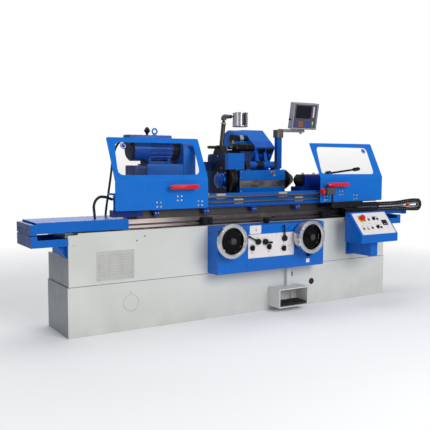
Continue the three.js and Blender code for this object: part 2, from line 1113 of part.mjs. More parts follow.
function paneSolid(size) {
  const heights = size.window.map(([, z]) => z);
  const sides = size.window.map(([x]) => x);
  const margin = door.paneMargin;
  const section = prism("x", bentSection(size, door.sheet + fit, door.paneThick), [
    Math.min(...sides) - margin,
    Math.max(...sides) + margin,
  ]);
  const band = block(
    [size.left, size.right],
    [door.y - overrun, door.topY + overrun],
    [Math.min(...heights) - margin, Math.max(...heights) + margin],
  );
  return section.intersect(band);
}

function doorHandleSolid(size) {
  const half = grip.length / 2;
  const posts = [-1, 1].map((side) =>
    drum("y", [size.handleX + side * grip.postReach, size.handleZ], grip.postRadius, [grip.y, door.y - fit], smallSides),
  );
  const profile = [
    [0, -half],
    [grip.radius - grip.nose, grip.nose / 4 - half],
    [grip.radius, grip.nose * 2 - half],
    [grip.radius, half - grip.nose * 2],
    [grip.radius - grip.nose, half - grip.nose / 4],
    [0, half],
  ].map(([radius, along]) => [radius, along + size.handleX]);
  return join(turned("x", [grip.y, size.handleZ], profile, gripSides), ...posts);
}

function stopBoxSolid() {
  const midY = (stopBox.front + stopBox.rear) / 2;
  const midZ = (stopBox.low + stopBox.high) / 2;
  const back = swivel.front - fit;
  const body = prism(
    "x",
    rounded(rectangle([stopBox.front, stopBox.rear], [stopBox.low, stopBox.high]), stopBox.corner),
    [stopBox.left, stopBox.right],
  );
  const foot = block(
    around(stopBox.stalkX, stopBox.footHalf),
    [back - stopBox.footThick, back],
    around(stopBox.footZ, stopBox.footHalf),
  );
  return cut(
    join(
      body,
      bar([stopBox.stalkX, midY, stopBox.low + weld], [stopBox.stalkX, midY, stopBox.footZ], stopBox.stalkRadius),
      drum("y", [stopBox.stalkX, stopBox.footZ], stopBox.stalkRadius, [midY, back - weld], smallSides),
      foot,
    ),
    bore("x", [midY, midZ], mushroom.stem, [stopBox.left - overrun, stopBox.left + mushroom.stemInto + mushroom.travel]),
  );
}

// A mushroom head on its stem, along Z: the panel's face is at zero and the head stands above it.
function mushroomProfile() {
  const under = mushroom.travel * 2;
  const top = under + mushroom.height;
  return [
    [0, -mushroom.stemInto + fit],
    [mushroom.stem, -mushroom.stemInto + fit],
    [mushroom.stem, under],
    [mushroom.radius - mushroom.edge / 2, under],
    [mushroom.radius, under + mushroom.edge],
    [mushroom.radius, top - mushroom.edge],
    [mushroom.radius - mushroom.edge / 2, top - mushroom.edge / 3],
    [mushroom.radius / 2, top],
    [0, top],
  ];
}

// A ribbed hose along a curve: alternating rings outside, a plain bore inside, square ends.
function ribbedHose(route) {
  const curve = new THREE.CatmullRomCurve3(route.map(vector));
  const total = curve.getLength();
  const straight = conduit.end / total;
  const pitchShare = (1 - 2 * straight) / conduit.ribs;
  const outside = [[0, conduit.root]];
  for (let rib = 0; rib < conduit.ribs; rib += 1) {
    const start = straight + rib * pitchShare;
    outside.push([start, conduit.root], [start + pitchShare / 2, conduit.outer]);
  }
  outside.push([1 - straight, conduit.root], [1, conduit.root]);
  const inside = [[0, conduit.bore]];
  for (let rib = 0; rib <= conduit.ribs; rib += conduit.boreEvery) inside.push([straight + rib * pitchShare, conduit.bore]);
  inside.push([1, conduit.bore]);
  const side = vector([0, 1, 0]);
  const positions = [];
  const ringAt = ([share, radius]) => {
    const centre = curve.getPointAt(Math.min(share, 1));
    const along = curve.getTangentAt(Math.min(share, 1));
    const across = side.clone().addScaledVector(along, -side.dot(along)).normalize();
    const third = along.clone().cross(across);
    const start = positions.length / 3;
    for (let k = 0; k < conduit.sides; k += 1) {
      const angle = (k / conduit.sides) * 2 * Math.PI;
      const point = centre.clone();
      point.addScaledVector(across, radius * Math.cos(angle)).addScaledVector(third, radius * Math.sin(angle));
      positions.push(point.x, point.y, point.z);
    }
    return start;
  };
  const rings = [...outside.map(ringAt), ...inside.map(ringAt).reverse()];
  const indices = [];
  rings.forEach((start, i) => {
    const next = rings[(i + 1) % rings.length];
    for (let k = 0; k < conduit.sides; k += 1) {
      const step = (k + 1) % conduit.sides;
      indices.push(start + k, start + step, next + step, start + k, next + step, next + k);
    }
  });
  const geometry = new THREE.BufferGeometry();
  geometry.setAttribute("position", new THREE.Float32BufferAttribute(positions, 3));
  geometry.setIndex(indices);
  return solidOf(geometry);
}

function plainHose(route, radius, sides, steps) {
  const section = new THREE.Shape();
  section.absarc(0, 0, radius, 0, 2 * Math.PI);
  const points = section.getPoints(Math.ceil(sides / 2)).slice(0, -1);
  const curve = new THREE.CatmullRomCurve3(route.map(vector));
  return solidOf(new THREE.ExtrudeGeometry(new THREE.Shape(points), { extrudePath: curve, steps, bevelEnabled: false }));
}

// Electric motors share a cowl, a finned body and feet.

function finnedBody(y, z, radius, fins, depth, span) {
  const outline = [];
  for (let k = 0; k < fins; k += 1) {
    const at = (share, reach) => {
      const angle = ((k + share) / fins) * 2 * Math.PI;
      return [y + reach * Math.cos(angle), z + reach * Math.sin(angle)];
    };
    outline.push(at(0, radius), at(0.3, radius), at(0.42, radius - depth), at(0.88, radius - depth));
  }
  return prism("x", outline, span);
}

function workMotorSolid() {
  const { y, z } = motor;
  const cowlEnd = motor.left + motor.cowl;
  const base = workhead.top + fit;
  const cowlProfile = [
    [0, motor.left],
    [motor.cowlRadius - motor.cowlEdge, motor.left],
    [motor.cowlRadius, motor.left + motor.cowlEdge],
    [motor.cowlRadius, cowlEnd],
    [0, cowlEnd],
  ];
  const legs = [motor.footLeft, motor.footRight - motor.legWide].map((left) =>
    block([left, left + motor.legWide], [motor.footFront + motor.legWide, motor.footRear - motor.legWide], [base, z]),
  );
  const box = prism(
    "x",
    rounded(rectangle([motor.boxFront, motor.boxRear], [z, motor.boxTop]), [0, 0, motor.boxCorner, motor.boxCorner]),
    [motor.boxLeft, motor.boxRight],
  );
  const knobProfile = [
    [0, motor.boxTop - weld],
    [ventKnob.neck, motor.boxTop - weld],
    [ventKnob.neck, motor.boxTop + ventKnob.neck],
    [ventKnob.radius, motor.boxTop + ventKnob.height / 2],
    [ventKnob.radius / 2, motor.boxTop + ventKnob.height - ventKnob.neck],
    [0, motor.boxTop + ventKnob.height],
  ];
  const ring = new THREE.TorusGeometry(eyeBolt.ring, eyeBolt.wire, smallSides / 2, smallSides);
  const ringPlace = new THREE.Matrix4().makeRotationX(Math.PI / 2);
  ringPlace.setPosition(eyeBolt.x, eyeBolt.y, motor.boxTop + eyeBolt.lift);
  const shank = [motor.boxTop - weld, motor.boxTop + eyeBolt.lift - eyeBolt.ring + eyeBolt.wire];
  return join(
    turned("x", [y, z], cowlProfile, roundSides),
    finnedBody(y, z, motor.radius, motor.fins, motor.finDepth, [cowlEnd - weld, motor.bodyEnd]),
    drum("x", [y, z], motor.endRadius, [motor.bodyEnd - weld, motor.end], roundSides),
    block([motor.footLeft, motor.footRight], [motor.footFront, motor.footRear], [base, base + motor.footThick]),
    ...legs,
    box,
    turned("z", [ventKnob.x, ventKnob.y], knobProfile, smallSides),
    solidOf(ring, ringPlace),
    drum("z", [eyeBolt.x, eyeBolt.y], eyeBolt.wire * 2, shank, smallSides),
  );
}

function workheadSolid() {
  const base = swivelTop + fit;
  const bodyLow = base + workhead.baseHeight;
  const wide = around(workY, workhead.half);
  const coverOutline = rounded(
    rectangle(around(workY, workhead.coverHalf), [bodyLow, workhead.coverTop]),
    [workhead.corner, workhead.corner, workhead.coverCorner * 2, workhead.coverCorner * 2],
  );
  const body = join(
    drum("z", [workhead.pivotX, workY], workhead.baseRadius, [base, bodyLow + weld], fineSides),
    prism("x", rounded(rectangle(wide, [bodyLow, workhead.leftTop]), workhead.corner), [workhead.left, workhead.mid + weld]),
    prism("x", rounded(rectangle(wide, [bodyLow, workhead.top]), workhead.corner / 2), [workhead.mid, workhead.right + weld]),
    prism("x", coverOutline, [workhead.right, workhead.coverRight]),
  );
  const boreSpan = [workhead.coverRight - workhead.boreDepth, workhead.coverRight + overrun];
  return cut(body, bore("x", [workY, workZ], workhead.bore, boreSpan));
}

function workSpindleSolid() {
  const face = workhead.coverRight + fit;
  const flangeEnd = face + spindleNose.flangeWide;
  const bodyEnd = flangeEnd + spindleNose.bodyWide;
  const profile = [
    [0, workhead.coverRight - workhead.boreDepth + overrun],
    [workhead.bore, workhead.coverRight - workhead.boreDepth + overrun],
    [workhead.bore, face],
    [spindleNose.flange, face],
    [spindleNose.flange, flangeEnd],
    [spindleNose.body, flangeEnd],
    [spindleNose.body, bodyEnd],
    [spindleNose.tip, bodyEnd],
    [0, bodyEnd + spindleNose.tipLength],
  ];
  const pin = drum("x", [workY, workZ + (spindleNose.flange + spindleNose.body) / 2], spindleNose.tip / 3, [flangeEnd - weld, bodyEnd], smallSides);
  return join(turned("x", [workY, workZ], profile, roundSides), pin);
}

// Tailstock

function tailstockSolid() {
  const base = swivelTop + fit;
  const wide = around(workY, tailstock.half);
  const upper = rounded(
    rectangle(wide, [tailstock.shoulder - weld, tailstock.top]),
    [0, 0, tailstock.corner, tailstock.corner],
  );
  const screws = tailScrews.map((x) =>
    drum("z", [x, workY], tailstock.screwRadius, [tailstock.top - weld, tailstock.top + tailstock.screwHeight], smallSides),
  );
  const boss = drum(
    "y",
    [quillLever.x - quillLever.hub, quillLever.z - quillLever.hub],
    quillLever.hub,
    [quillLever.y + quillLever.hubWide / 2 + fit, workY + tailstock.half],
    smallSides,
  );
  const arm = block(
    [tailstock.right - quillLever.hub * 2, quillLever.x],
    [quillLever.y + quillLever.hubWide / 2 + fit, workY + tailstock.half / 2],
    [quillLever.z - quillLever.hub * 2, quillLever.z - quillLever.hub / 2],
  );
  const pin = drum("y", [quillLever.x, quillLever.z], quillLever.arm, [quillLever.y - quillLever.hubWide / 2 - fit, workY], smallSides);
  const pinBoss = drum("y", [quillLever.x, quillLever.z], quillLever.hub * 0.8, [quillLever.y + quillLever.hubWide / 2 + fit, workY], smallSides);
  const body = join(
    block([tailstock.baseLeft, tailstock.right], wide, [base, tailstock.shoulder]),
    prism("x", upper, [tailstock.left, tailstock.right]),
    ...screws,
    boss,
    arm,
    pinBoss,
    pin,
  );
  const boreSpan = [tailstock.left - overrun, tailstock.left + tailstock.boreDepth];
  const relief = block(
    [tailstock.baseLeft - overrun, tailstock.left],
    around(workY, quill.nose + fit),
    [workZ - quill.nose - fit * 2, tailstock.shoulder + overrun],
  );
  return cut(body, bore("x", [workY, workZ], quill.radius, boreSpan), relief);
}

function quillSolid() {
  const left = quill.noseLeft;
  const back = tailstock.left - fit;
  const profile = [
    [0, left],
    [quill.tipRadius, left],
    [quill.nose - quill.noseEdge / 2, left + quill.noseEdge / 2],
    [quill.nose, left + quill.noseEdge],
    [quill.nose, back],
    [quill.radius, back],
    [quill.radius, back + tailstock.boreDepth - overrun],
    [0, back + tailstock.boreDepth - overrun],
  ];
  return turned("x", [workY, workZ], profile, roundSides);
}

// The lever lies along X from its hub, which turns on a pin along Y.
function quillLeverSolid() {
  const { hub, hubWide, length, rise, arm, gripRadius, gripLength } = quillLever;
  const lift = Math.sin(rise * degree);
  const reach = Math.cos(rise * degree);
  const at = (share) => [length * share * reach, 0, length * share * lift];
  const start = 1 - gripLength / length;
  const body = join(
    drum("y", [0, 0], hub, around(0, hubWide / 2)),
    bar(at(hub / length / 2), at(start), arm),
    bar(at(start + gripRadius / length), at(1 - gripRadius / length), gripRadius),
  );
  return cut(body, bore("y", [0, 0], arm, around(0, hubWide), smallSides));
}

// Wheelhead

function wheelheadSolid() {
  const { left, right, front, rear, low, top } = head;
  const housing = rounded(rectangle([front, rear], [low, top]), head.corner);
  const column = [head.columnFront, head.columnRear];
  const plate = head.plateReach;
  const ear = (from, to) => {
    const { hingeY, hingeZ, earHalf } = internal;
    return join(
      drum("x", [hingeY, hingeZ], earHalf, [from, to], roundSides),
      block([from, to], around(hingeY, earHalf), [top - weld, hingeZ]),
    );
  };
  const body = join(
    prism("x", housing, [left, right]),
    block([head.slideLeft, head.slideRight], [head.slideFront, head.slideRear], [cross.slideUnder, low + weld]),
    block([head.columnLeft, right], column, [top - weld, top + head.plateThick * 2]),
    block([head.columnLeft, head.columnRight], column, [top + head.plateThick, head.columnTop - fit]),
    block([head.columnLeft - plate, right], [column[0] - plate, column[1] + plate], [top - weld, top + head.plateThick]),
    ear(internal.earLeft, internal.barrelLeft - fit),
    ear(internal.barrelRight + fit, internal.earRight),
    drum("x", [internal.hingeY, internal.hingeZ], internal.barrel / 2, [internal.earLeft + weld, internal.earRight - weld], smallSides),
    drum("y", [head.glassX, head.glassZ], head.glassRadius, [front - head.glassProud, front + weld]),
  );
  const veeHeight = way.veeHalf - way.apexHalf;
  const cutY = [head.slideFront - overrun, head.slideRear + overrun];
  return cut(
    body,
    block([left - overrun, right + overrun], [front - overrun, front + head.bandDepth], [head.bandLow, head.bandHigh]),
    bore("x", [wheelY, workZ], head.bore, [left - overrun, left + head.boreDepth], fineSides),
    prism("y", veeRidge(cross.veeX, cross.padTop, veeHeight, way.slideGap), cutY),
  );
}

function wheelSolid() {
  const { radius, flange, flangeProud, recess, recessRadius, spindle } = wheel;
  const right = wheel.left + wheel.width;
  const profile = [
    [0, wheel.left - flangeProud],
    [flange / 2, wheel.left - flangeProud],
    [flange, wheel.left + recess],
    [recessRadius, wheel.left + recess],
    [recessRadius, wheel.left],
    [radius, wheel.left],
    [radius, right],
    [recessRadius, right],
    [recessRadius, right - recess],
    [flange, right - recess],
    [flange, right],
    [spindle, right + flangeProud],
    [spindle, head.left + head.boreDepth - overrun],
    [0, head.left + head.boreDepth - overrun],
  ];
  return turned("x", [wheelY, workZ], profile, fineSides);
}

function guardSolid() {
  const { left, right, front, rear, low, high, wall, corner } = guard;
  const outline = rounded(rectangle([front, rear], [low, high]), [0, corner, corner, 0]);
  const hollow = rounded(
    rectangle([front - overrun, rear - wall], [low + wall, high - wall]),
    [0, corner - wall, corner - wall, 0],
  );
  const hub = [
    [0, left - guard.hubProud],
    [guard.hubRadius * 0.6, left - guard.hubProud * 0.85],
    [guard.hubRadius * 0.9, left - guard.hubProud / 2],
    [guard.hubRadius, left + weld],
    [0, left + weld],
  ];
  const neck = drum("x", [wheelY, workZ], guard.neckRadius, [right - wall, head.left - fit]);
  const shell = cut(
    join(prism("x", outline, [left, right]), neck),
    prism("x", hollow, [left + wall, right - wall]),
    block([left + wall, right - wall], [front - overrun, guard.rimLowFront], [low - overrun, low + wall + overrun]),
    drum("x", [wheelY, workZ], guard.holeRadius, [right - wall - overrun, head.left + overrun]),
  );
  const hoodOuter = block([guard.hoodLeft, guard.hoodRight], [guard.hoodFront, front + weld], [guard.hoodLow, guard.hoodHigh]);
  const hoodInner = block(
    [guard.hoodLeft + wall, guard.hoodRight - wall],
    [guard.hoodFront + wall, front + overrun],
    [guard.hoodLow - overrun, guard.hoodHigh - wall],
  );
  const hood = cut(hoodOuter, hoodInner);
  return join(shell, hood, turned("x", [wheelY, workZ], hub, roundSides));
}

function beltGuardSolid() {
  const small = new THREE.Vector2(wheelY, workZ);
  const large = new THREE.Vector2(wheelMotor.y, wheelMotor.z);
  const lean = large.clone().sub(small);
  const tilt = lean.angle();
  const spread = Math.acos((belt.small - belt.large) / lean.length());
  const shape = new THREE.Shape();
  shape.absarc(small.x, small.y, belt.small, tilt + spread, tilt - spread + 2 * Math.PI, false);
  shape.absarc(large.x, large.y, belt.large, tilt - spread, tilt + spread, false);
  const points = shape.getPoints(cornerSteps * 4);
  const casing = prism("x", points.map(({ x, y }) => [x, y]), [belt.left + fit, belt.right]);
  const dome = [
    [0, belt.right - weld],
    [belt.domeRadius, belt.right - weld],
    [belt.domeRadius, belt.right + belt.domeRim],
    [belt.noseRadius * 2, belt.domeTip - belt.domeRim],
    [belt.noseRadius, belt.domeTip],
    [0, belt.domeTip],
  ];
  return join(casing, turned("x", [wheelY, workZ], dome, roundSides));
}

function wheelMotorSolid() {
  const { y, z, radius, left, cowl } = wheelMotor;
  const base = head.low + weld + fit;
  const cowlProfile = [
    [0, left],
    [radius - motor.cowlEdge, left],
    [radius, left + motor.cowlEdge],
    [radius, left + cowl],
    [0, left + cowl],
  ];
  const foot = block([wheelMotor.footLeft, wheelMotor.footRight], around(y, wheelMotor.footHalf), [base, base + wheelMotor.footThick]);
  const leg = block([wheelMotor.footLeft + overrun, wheelMotor.footRight - overrun], around(y, wheelMotor.footHalf / 2), [base, z]);
  return join(
    turned("x", [y, z], cowlProfile, roundSides),
    finnedBody(y, z, radius, wheelMotor.fins, wheelMotor.finDepth, [left + cowl - weld, belt.left]),
    foot,
    leg,
  );
}

// Internal grinding attachment: the fixed motor box behind, the swinging bracket in front.

function slopeZ(y) {
  const { noseY, noseZ, crestY, crestZ } = internal;
  return noseZ + ((crestZ - noseZ) * (y - noseY)) / (crestY - noseY);
}

function chinZ(y) {
  const { noseY, noseZ, chinY, chinZ: low } = internal;
  return noseZ + ((low - noseZ) * (y - noseY)) / (chinY - noseY);
}

function internalBoxSolid() {
  const { left, right, crestY, crestZ, rearY, chinY } = internal;
  const front = internal.seamY + fit;
  const outline = [
    [front, slopeZ(front)],
    [crestY, crestZ],
    [rearY, crestZ],
    [rearY, head.top + fit],
    [chinY, head.top + fit],
    [chinY, internal.chinZ],
    [front, chinZ(front)],
  ];
  const motorProfile = [
    [0, internal.motorLeft],
    [internal.motorRadius - motor.cowlEdge, internal.motorLeft],
    [internal.motorRadius, internal.motorLeft + motor.cowlEdge],
    [internal.motorRadius, left + weld],
    [0, left + weld],
  ];
  return join(
    prism("x", outline, [left, right]),
    turned("x", [internal.motorY, internal.motorZ], motorProfile, roundSides),
    drum("x", [internal.pulleyY, internal.pulleyZ], internal.pulleyRadius, [internal.pulleyLeft, left + weld]),
  );
}

function internalBracketSolid() {
  const { left, right, hingeY, hingeZ, barrel, seamY, noseY, noseZ, lugWide } = internal;
  const wedge = [
    [noseY, noseZ],
    [seamY, slopeZ(seamY)],
    [seamY, chinZ(seamY)],
  ];
  const down = new THREE.Vector2(internal.chinY - noseY, internal.chinZ - noseZ);
  const lean = Math.atan2(down.x, -down.y);
  const lugs = lugPlaces.map((x) =>
    prism(
      "x",
      [
        [hingeY, hingeZ + barrel / 2],
        [hingeY + barrel / 2, hingeZ - barrel / 2],
        [seamY - barrel / 2, chinZ(seamY - barrel / 2) + barrel],
        [seamY - barrel * 1.5, chinZ(seamY - barrel * 1.5) + barrel],
        [hingeY + barrel * 0.85, hingeZ + barrel * 1.65],
      ],
      [x, x + lugWide],
    ),
  );
  const knobs = faceKnobs.map(({ x, share, radius }) => {
    const place = new THREE.Matrix4().makeRotationX(Math.PI / 2 + lean);
    place.setPosition(x, noseY + down.x * share, noseZ + down.y * share);
    return drum("z", [0, 0], radius, [-weld * 2, faceKnobHeight], smallSides, place);
  });
  const body = join(
    prism("x", wedge, [left, right]),
    drum("x", [hingeY, hingeZ], barrel, [internal.barrelLeft, internal.barrelRight], roundSides),
    drum("x", [hingeY, hingeZ], barrel + internal.bandProud, [internal.bandLeft, internal.bandRight], roundSides),
    ...lugs,
    ...knobs,
  );
  return cut(
    body,
    bore("x", [hingeY, hingeZ], barrel / 2, [internal.barrelLeft - overrun, internal.barrelRight + overrun], smallSides),
    bore("x", [internal.spindleY, internal.spindleZ], internal.journal, [left - overrun, left + internal.journalDepth + overrun]),
  );
}

function internalSpindleSolid() {
  const { left, spindleLeft, spindleRadius, nose, noseLength, journal, journalDepth } = internal;
  const back = left - fit;
  const profile = [
    [0, spindleLeft],
    [nose, spindleLeft],
    [nose, spindleLeft + noseLength],
    [spindleRadius, spindleLeft + noseLength * 2],
    [spindleRadius, back],
    [journal, back],
    [journal, left + journalDepth],
    [0, left + journalDepth],
  ];
  return turned("x", [internal.spindleY, internal.spindleZ], profile, roundSides);
}

// Lamp

function lampPostSolid() {
  const base = guard.high + fit;
  const web = [
    [lamp.webFront, base],
    [lamp.webRear, base],
    [lamp.apexY + lamp.apexHalf, lamp.webTop],
    [lamp.apexY - lamp.apexHalf, lamp.webTop],
  ];
  return join(
    prism("x", web, [lamp.left, lamp.right]),
    bar([lamp.barLeft, lamp.barY, lamp.barZ], [lamp.right - lamp.barRadius, lamp.barY, lamp.barZ], lamp.barRadius),
    bar([lamp.footX, lamp.footY, lamp.webTop - lamp.postRadius * 2], [lamp.topX, lamp.topY, lamp.topZ], lamp.postRadius),
    drum("z", [lamp.topX, lamp.topY], lamp.postRadius / 2, [lamp.topZ, lamp.topZ + lamp.postRadius], smallSides),
  );
}

// The arm turns on the ball above the post; its origin is the ball's centre.
function lampArmSolid() {
  const reach = lamp.headRadius + lamp.armBall + fit;
  const endX = lamp.headX + reach * Math.cos(lamp.armTurn * degree);
  const endY = lamp.headY + reach * Math.sin(lamp.armTurn * degree);
  const end = [endX - lamp.topX, endY - lamp.topY, lamp.armZ - lamp.topZ - lamp.ball - lamp.postRadius];
  return join(ball([0, 0, 0], lamp.ball), bar([0, 0, 0], end, lamp.armRadius), ball(end, lamp.armBall));
}

function lampHeadSolid() {
  const { headRadius, headHalf, rimProud, rimWide } = lamp;
  const outer = headRadius + rimProud;
  const profile = [
    [0, -headHalf],
    [outer - rimProud * 2, -headHalf],
    [outer, rimProud - headHalf],
    [outer, rimWide - headHalf],
    [headRadius, rimWide - headHalf],
    [headRadius, headHalf - rimWide],
    [outer, headHalf - rimWide],
    [outer, headHalf - rimProud],
    [outer - rimProud * 2, headHalf],
    [0, headHalf],
  ];
  return turned("z", [0, 0], profile, fineSides);
}

// Readout

function readoutArmSolid() {
  const midX = (head.columnLeft + head.columnRight) / 2;
  const midY = (head.columnFront + head.columnRear) / 2;
  const { clampHalf, clampHigh, barZ, barY, barRadius } = readout;
  const clamp = rounded(rectangle(around(midX, clampHalf), around(midY, clampHalf)), barRadius);
  return join(
    prism("z", clamp, [head.columnTop, head.columnTop + clampHigh]),
    drum("x", [barY, barZ], barRadius, [midX, readout.barEnd], smallSides),
    drum("z", [readout.footX, barY], readout.footRadius, [barZ - readout.footDrop, barZ], smallSides),
  );
}

// The display box stands on the bar; its origin is the bar's centre below the box.
function readoutBoxSolid() {
  const { boxWide, boxHigh, boxDeep, boxLift, boxCorner, bezel, bezelDeep, lugHalf, barRadius } = readout;
  const half = boxWide / 2;
  const deep = boxDeep / 2;
  const box = prism("y", rounded(rectangle([-half, half], [boxLift, boxLift + boxHigh]), boxCorner), [-deep, deep]);
  const screenWell = block(
    [bezel - half, half - bezel],
    [-deep - overrun, bezelDeep - deep],
    [boxLift + bezel, boxLift + boxHigh - bezel],
  );
  const lug = block(around(0, lugHalf), around(0, lugHalf / 2), [barRadius + fit, boxLift + weld]);
  const knobZ = boxLift + boxHigh * readout.knobShare;
  const knob = drum("x", [0, knobZ], readout.knobRadius, [-half - readout.knobProud, weld - half], smallSides);
  return join(cut(box, screenWell), lug, knob);
}

// Apron

function apronSolid() {
  const { left, right, front, low, top, corner } = apron;
  const shell = prism("x", rounded(rectangle([front, -fit], [low, top]), [corner, 0, 0, corner]), [left, right]);
  const shaft = (place) => {
    const { bossRadius, bossProud, capRadius, capThick } = handwheel;
    const end = front - bossProud - place.reach;
    return join(
      drum("y", [place.x, place.z], bossRadius, [front - bossProud, front + weld]),
      drum("y", [place.x, place.z], handwheel.shaft, [end - capThick, front]),
      drum("y", [place.x, place.z], capRadius, [end - capThick, end - fit]),
    );
  };
  const post = block(around(apron.postX, apron.postHalf), [apron.postFront, apron.postRear], [top - weld, apron.postZ + apron.postHalf]);
  const pin = drum("y", [apron.postX, apron.postZ], apron.pinRadius, [apron.pinFront, apron.postRear], smallSides);
  const lock = drum("y", [apron.lockX, apron.lockZ], apron.lockRadius, [front - apron.lockProud, front + weld], smallSides);
  const seam = block(around(apron.seamX, apron.seamWide / 2), [front - overrun, front + apron.seamDepth], [low - overrun, top + overrun]);
  return join(cut(shell, seam), shaft(tableWheel), shaft(feedWheel), post, pin, lock);
}

// A dished handwheel along Z, its hub's back face at zero.
function handwheelSolid(size) {
  const { rimRadius, rimInner, rimEdge, hub, webThick, shaft } = handwheel;
  const bored = boreRadius(shaft, fineSides);
  const back = size.rimStart;
  const rimFront = back + size.rimDepth;
  const dial = [
    [hub, size.dialStart],
    [size.dial, size.dialStart],
    [size.dial, back],
  ];
  const profile = [
    [bored, fit],
    [hub, fit],
    ...(size.dial ? dial : [[hub, back]]),
    [rimRadius - rimEdge, back],
    [rimRadius, back + rimEdge],
    [rimRadius, rimFront - rimEdge],
    [rimRadius - rimEdge, rimFront],
    [rimInner + rimEdge, rimFront],
    [rimInner, rimFront - rimEdge],
    [rimInner - rimEdge, back + webThick],
    [hub, back + webThick],
    [hub, size.reach],
    [bored, size.reach],
    [bored, fit],
  ];
  return turned("z", [0, 0], profile, fineSides);
}

function tableWheelSolid() {
  const low = tableWheel.rimStart;
  const high = low + tableWheel.rimDepth - crank.radius;
  const handle = bar([crank.x - crank.half, crank.z, high], [crank.x + crank.half, crank.z, high], crank.radius);
  const post = drum("z", [crank.x - crank.half, crank.z], crank.postRadius, [low + weld, high], smallSides);
  return join(handwheelSolid(tableWheel), handle, post);
}

// A lever on a panel: hub along Z, arm towards (dx, dz) with a ball at its end.
function leverSolid({ dx, dz }, pin = 0) {
  const hubProfile = [
    [0, fit],
    [lever.hub, fit],
    [lever.hub, lever.hubHigh - lever.arm],
    [lever.hub - lever.arm, lever.hubHigh],
    [0, lever.hubHigh],
  ];
  const body = join(
    turned("z", [0, 0], hubProfile, gripSides),
    bar([0, 0, lever.armLift], [dx, dz, lever.armLift], lever.arm),
    ball([dx, dz, lever.armLift], lever.ball),
  );
  return pin ? cut(body, bore("z", [0, 0], pin, [-overrun, lever.hubHigh + overrun], smallSides)) : body;
}

// A round knob with a grip bar across it, along Z.
function knobSolid({ radius, baseHigh, barHalf, barHigh }) {
  const gripBar = rounded(rectangle(around(0, barHalf), around(0, radius)), barHalf * 0.8);
  return join(drum("z", [0, 0], radius, [fit, baseHigh + weld], gripSides), prism("z", gripBar, [baseHigh, barHigh]));
}

// Pedal and its housing

function pedalHouseSolid() {
  const { left, right, front, low, high, wall, ductLeft, ductRight, ductFront } = pedalHouse;
  const outer = block([left, right], [front, -fit], [low, high]);
  const inner = block([left + wall, right - wall], [front - overrun, -wall], [low + wall, high - wall]);
  const duct = block([ductLeft, ductRight], [ductFront, -fit], [high - weld, apron.low - fit]);
  const pin = drum("x", [pedal.pinY, pedal.pinZ], pedal.pinRadius, [left + weld, right - weld], smallSides);
  return join(cut(outer, inner), duct, pin);
}

function pedalSolid() {
  const left = pedalHouse.left + pedalHouse.wall + pedal.gap;
  const right = pedalHouse.right - pedalHouse.wall - pedal.gap;
  const low = pedal.pinZ - pedal.thick / 2;
  const top = pedal.pinZ + pedal.thick / 2;
  const pitch = (pedal.rear - pedal.front) / (2 * pedal.ribs);
  const outline = [[pedal.front, low]];
  outline.push([pedal.pinY, low], [pedal.pinY, top - pedal.rib]);
  for (let k = pedal.ribs - 1; k >= 0; k -= 1) {
    const from = pedal.front + (2 * k + 1) * pitch;
    outline.push([from, top - pedal.rib], [from, top], [from - pitch, top], [from - pitch, top - pedal.rib]);
  }
  const width = right - left;
  const rods = [pedal.rodInShare, 1 - pedal.rodInShare].map((share) =>
    drum("z", [left + width * share, pedal.rear], pedal.rodRadius, [low + weld, pedal.rodTop], smallSides),
  );
  const body = join(
    prism("x", outline, [left, right]),
    drum("x", [pedal.pinY, pedal.pinZ], pedal.barrel, [left, right], smallSides),
    ...rods,
  );
  return cut(body, bore("x", [pedal.pinY, pedal.pinZ], pedal.pinRadius, [left - overrun, right + overrun], smallSides));
}

// Console: a desk with a sloping panel on a box arm.
const slopeTurn = Math.atan2(consoleBox.topZ - consoleBox.lipZ, consoleBox.slopeTopY - consoleBox.front);

function slopePlace(x, down) {
  return [x, consoleBox.slopeTopY - down * Math.cos(slopeTurn), consoleBox.topZ - down * Math.sin(slopeTurn)];
}

function slopeMatrix(x, down) {
  return new THREE.Matrix4().makeRotationX(slopeTurn).setPosition(...slopePlace(x, down));
}

function consoleSolid() {
  const { left, right, rear, front, slopeTopY, topZ, lipZ, frontLow, rearLow } = consoleBox;
  const { armLeft, armRight, armFront, armLow, flangeReach, flangeThick } = consoleBox;
  const outline = [
    [rear, rearLow],
    [front, frontLow],
    [front, lipZ],
    [slopeTopY, topZ],
    [rear, topZ],
  ];
  const collar = drum("z", [0, 0], stopPlace.collar, [-weld, stopPlace.collarHigh], roundSides, slopeMatrix(stopPlace.x, stopPlace.down));
  const buttons = panelButtons.map(([x, down]) =>
    drum("z", [0, 0], panelButton.radius, [-weld, panelButton.high], smallSides, slopeMatrix(x, down)),
  );
  const body = join(
    prism("x", outline, [left, right]),
    block([armLeft, armRight], [armFront, -fit], [armLow, frontLow + weld]),
    block([armLeft - flangeReach, armRight + flangeReach], [-flangeThick, -fit], [armLow - flangeReach, frontLow]),
    collar,
    ...buttons,
  );
  const stemHole = bore(
    "z",
    [0, 0],
    mushroom.stem,
    [-mushroom.stemInto - mushroom.travel, overrun * 2],
    roundSides,
    slopeMatrix(stopPlace.x, stopPlace.down),
  );
  return cut(body, stemHole);
}

// Drag chain: two hollow runs, and a loop whose tails slide inside them.

function chainRun(z, left, right) {
  const outer = chain.tail / 2 + chain.play + chain.wall;
  const inner = chain.tail / 2 + chain.play;
  const shell = block([left, right], around(chain.y, outer), around(z, outer));
  const cuts = [block([left - overrun, right + overrun], around(chain.y, inner), around(z, inner))];
  for (let x = left + chain.pitch; x < right - chain.groove; x += chain.pitch) {
    const ring = block([x, x + chain.groove], around(chain.y, outer + overrun), around(z, outer + overrun));
    const core = block([x, x + chain.groove], around(chain.y, outer - chain.grooveDepth), around(z, outer - chain.grooveDepth));
    cuts.push(cut(ring, core));
  }
  return cut(shell, ...cuts);
}

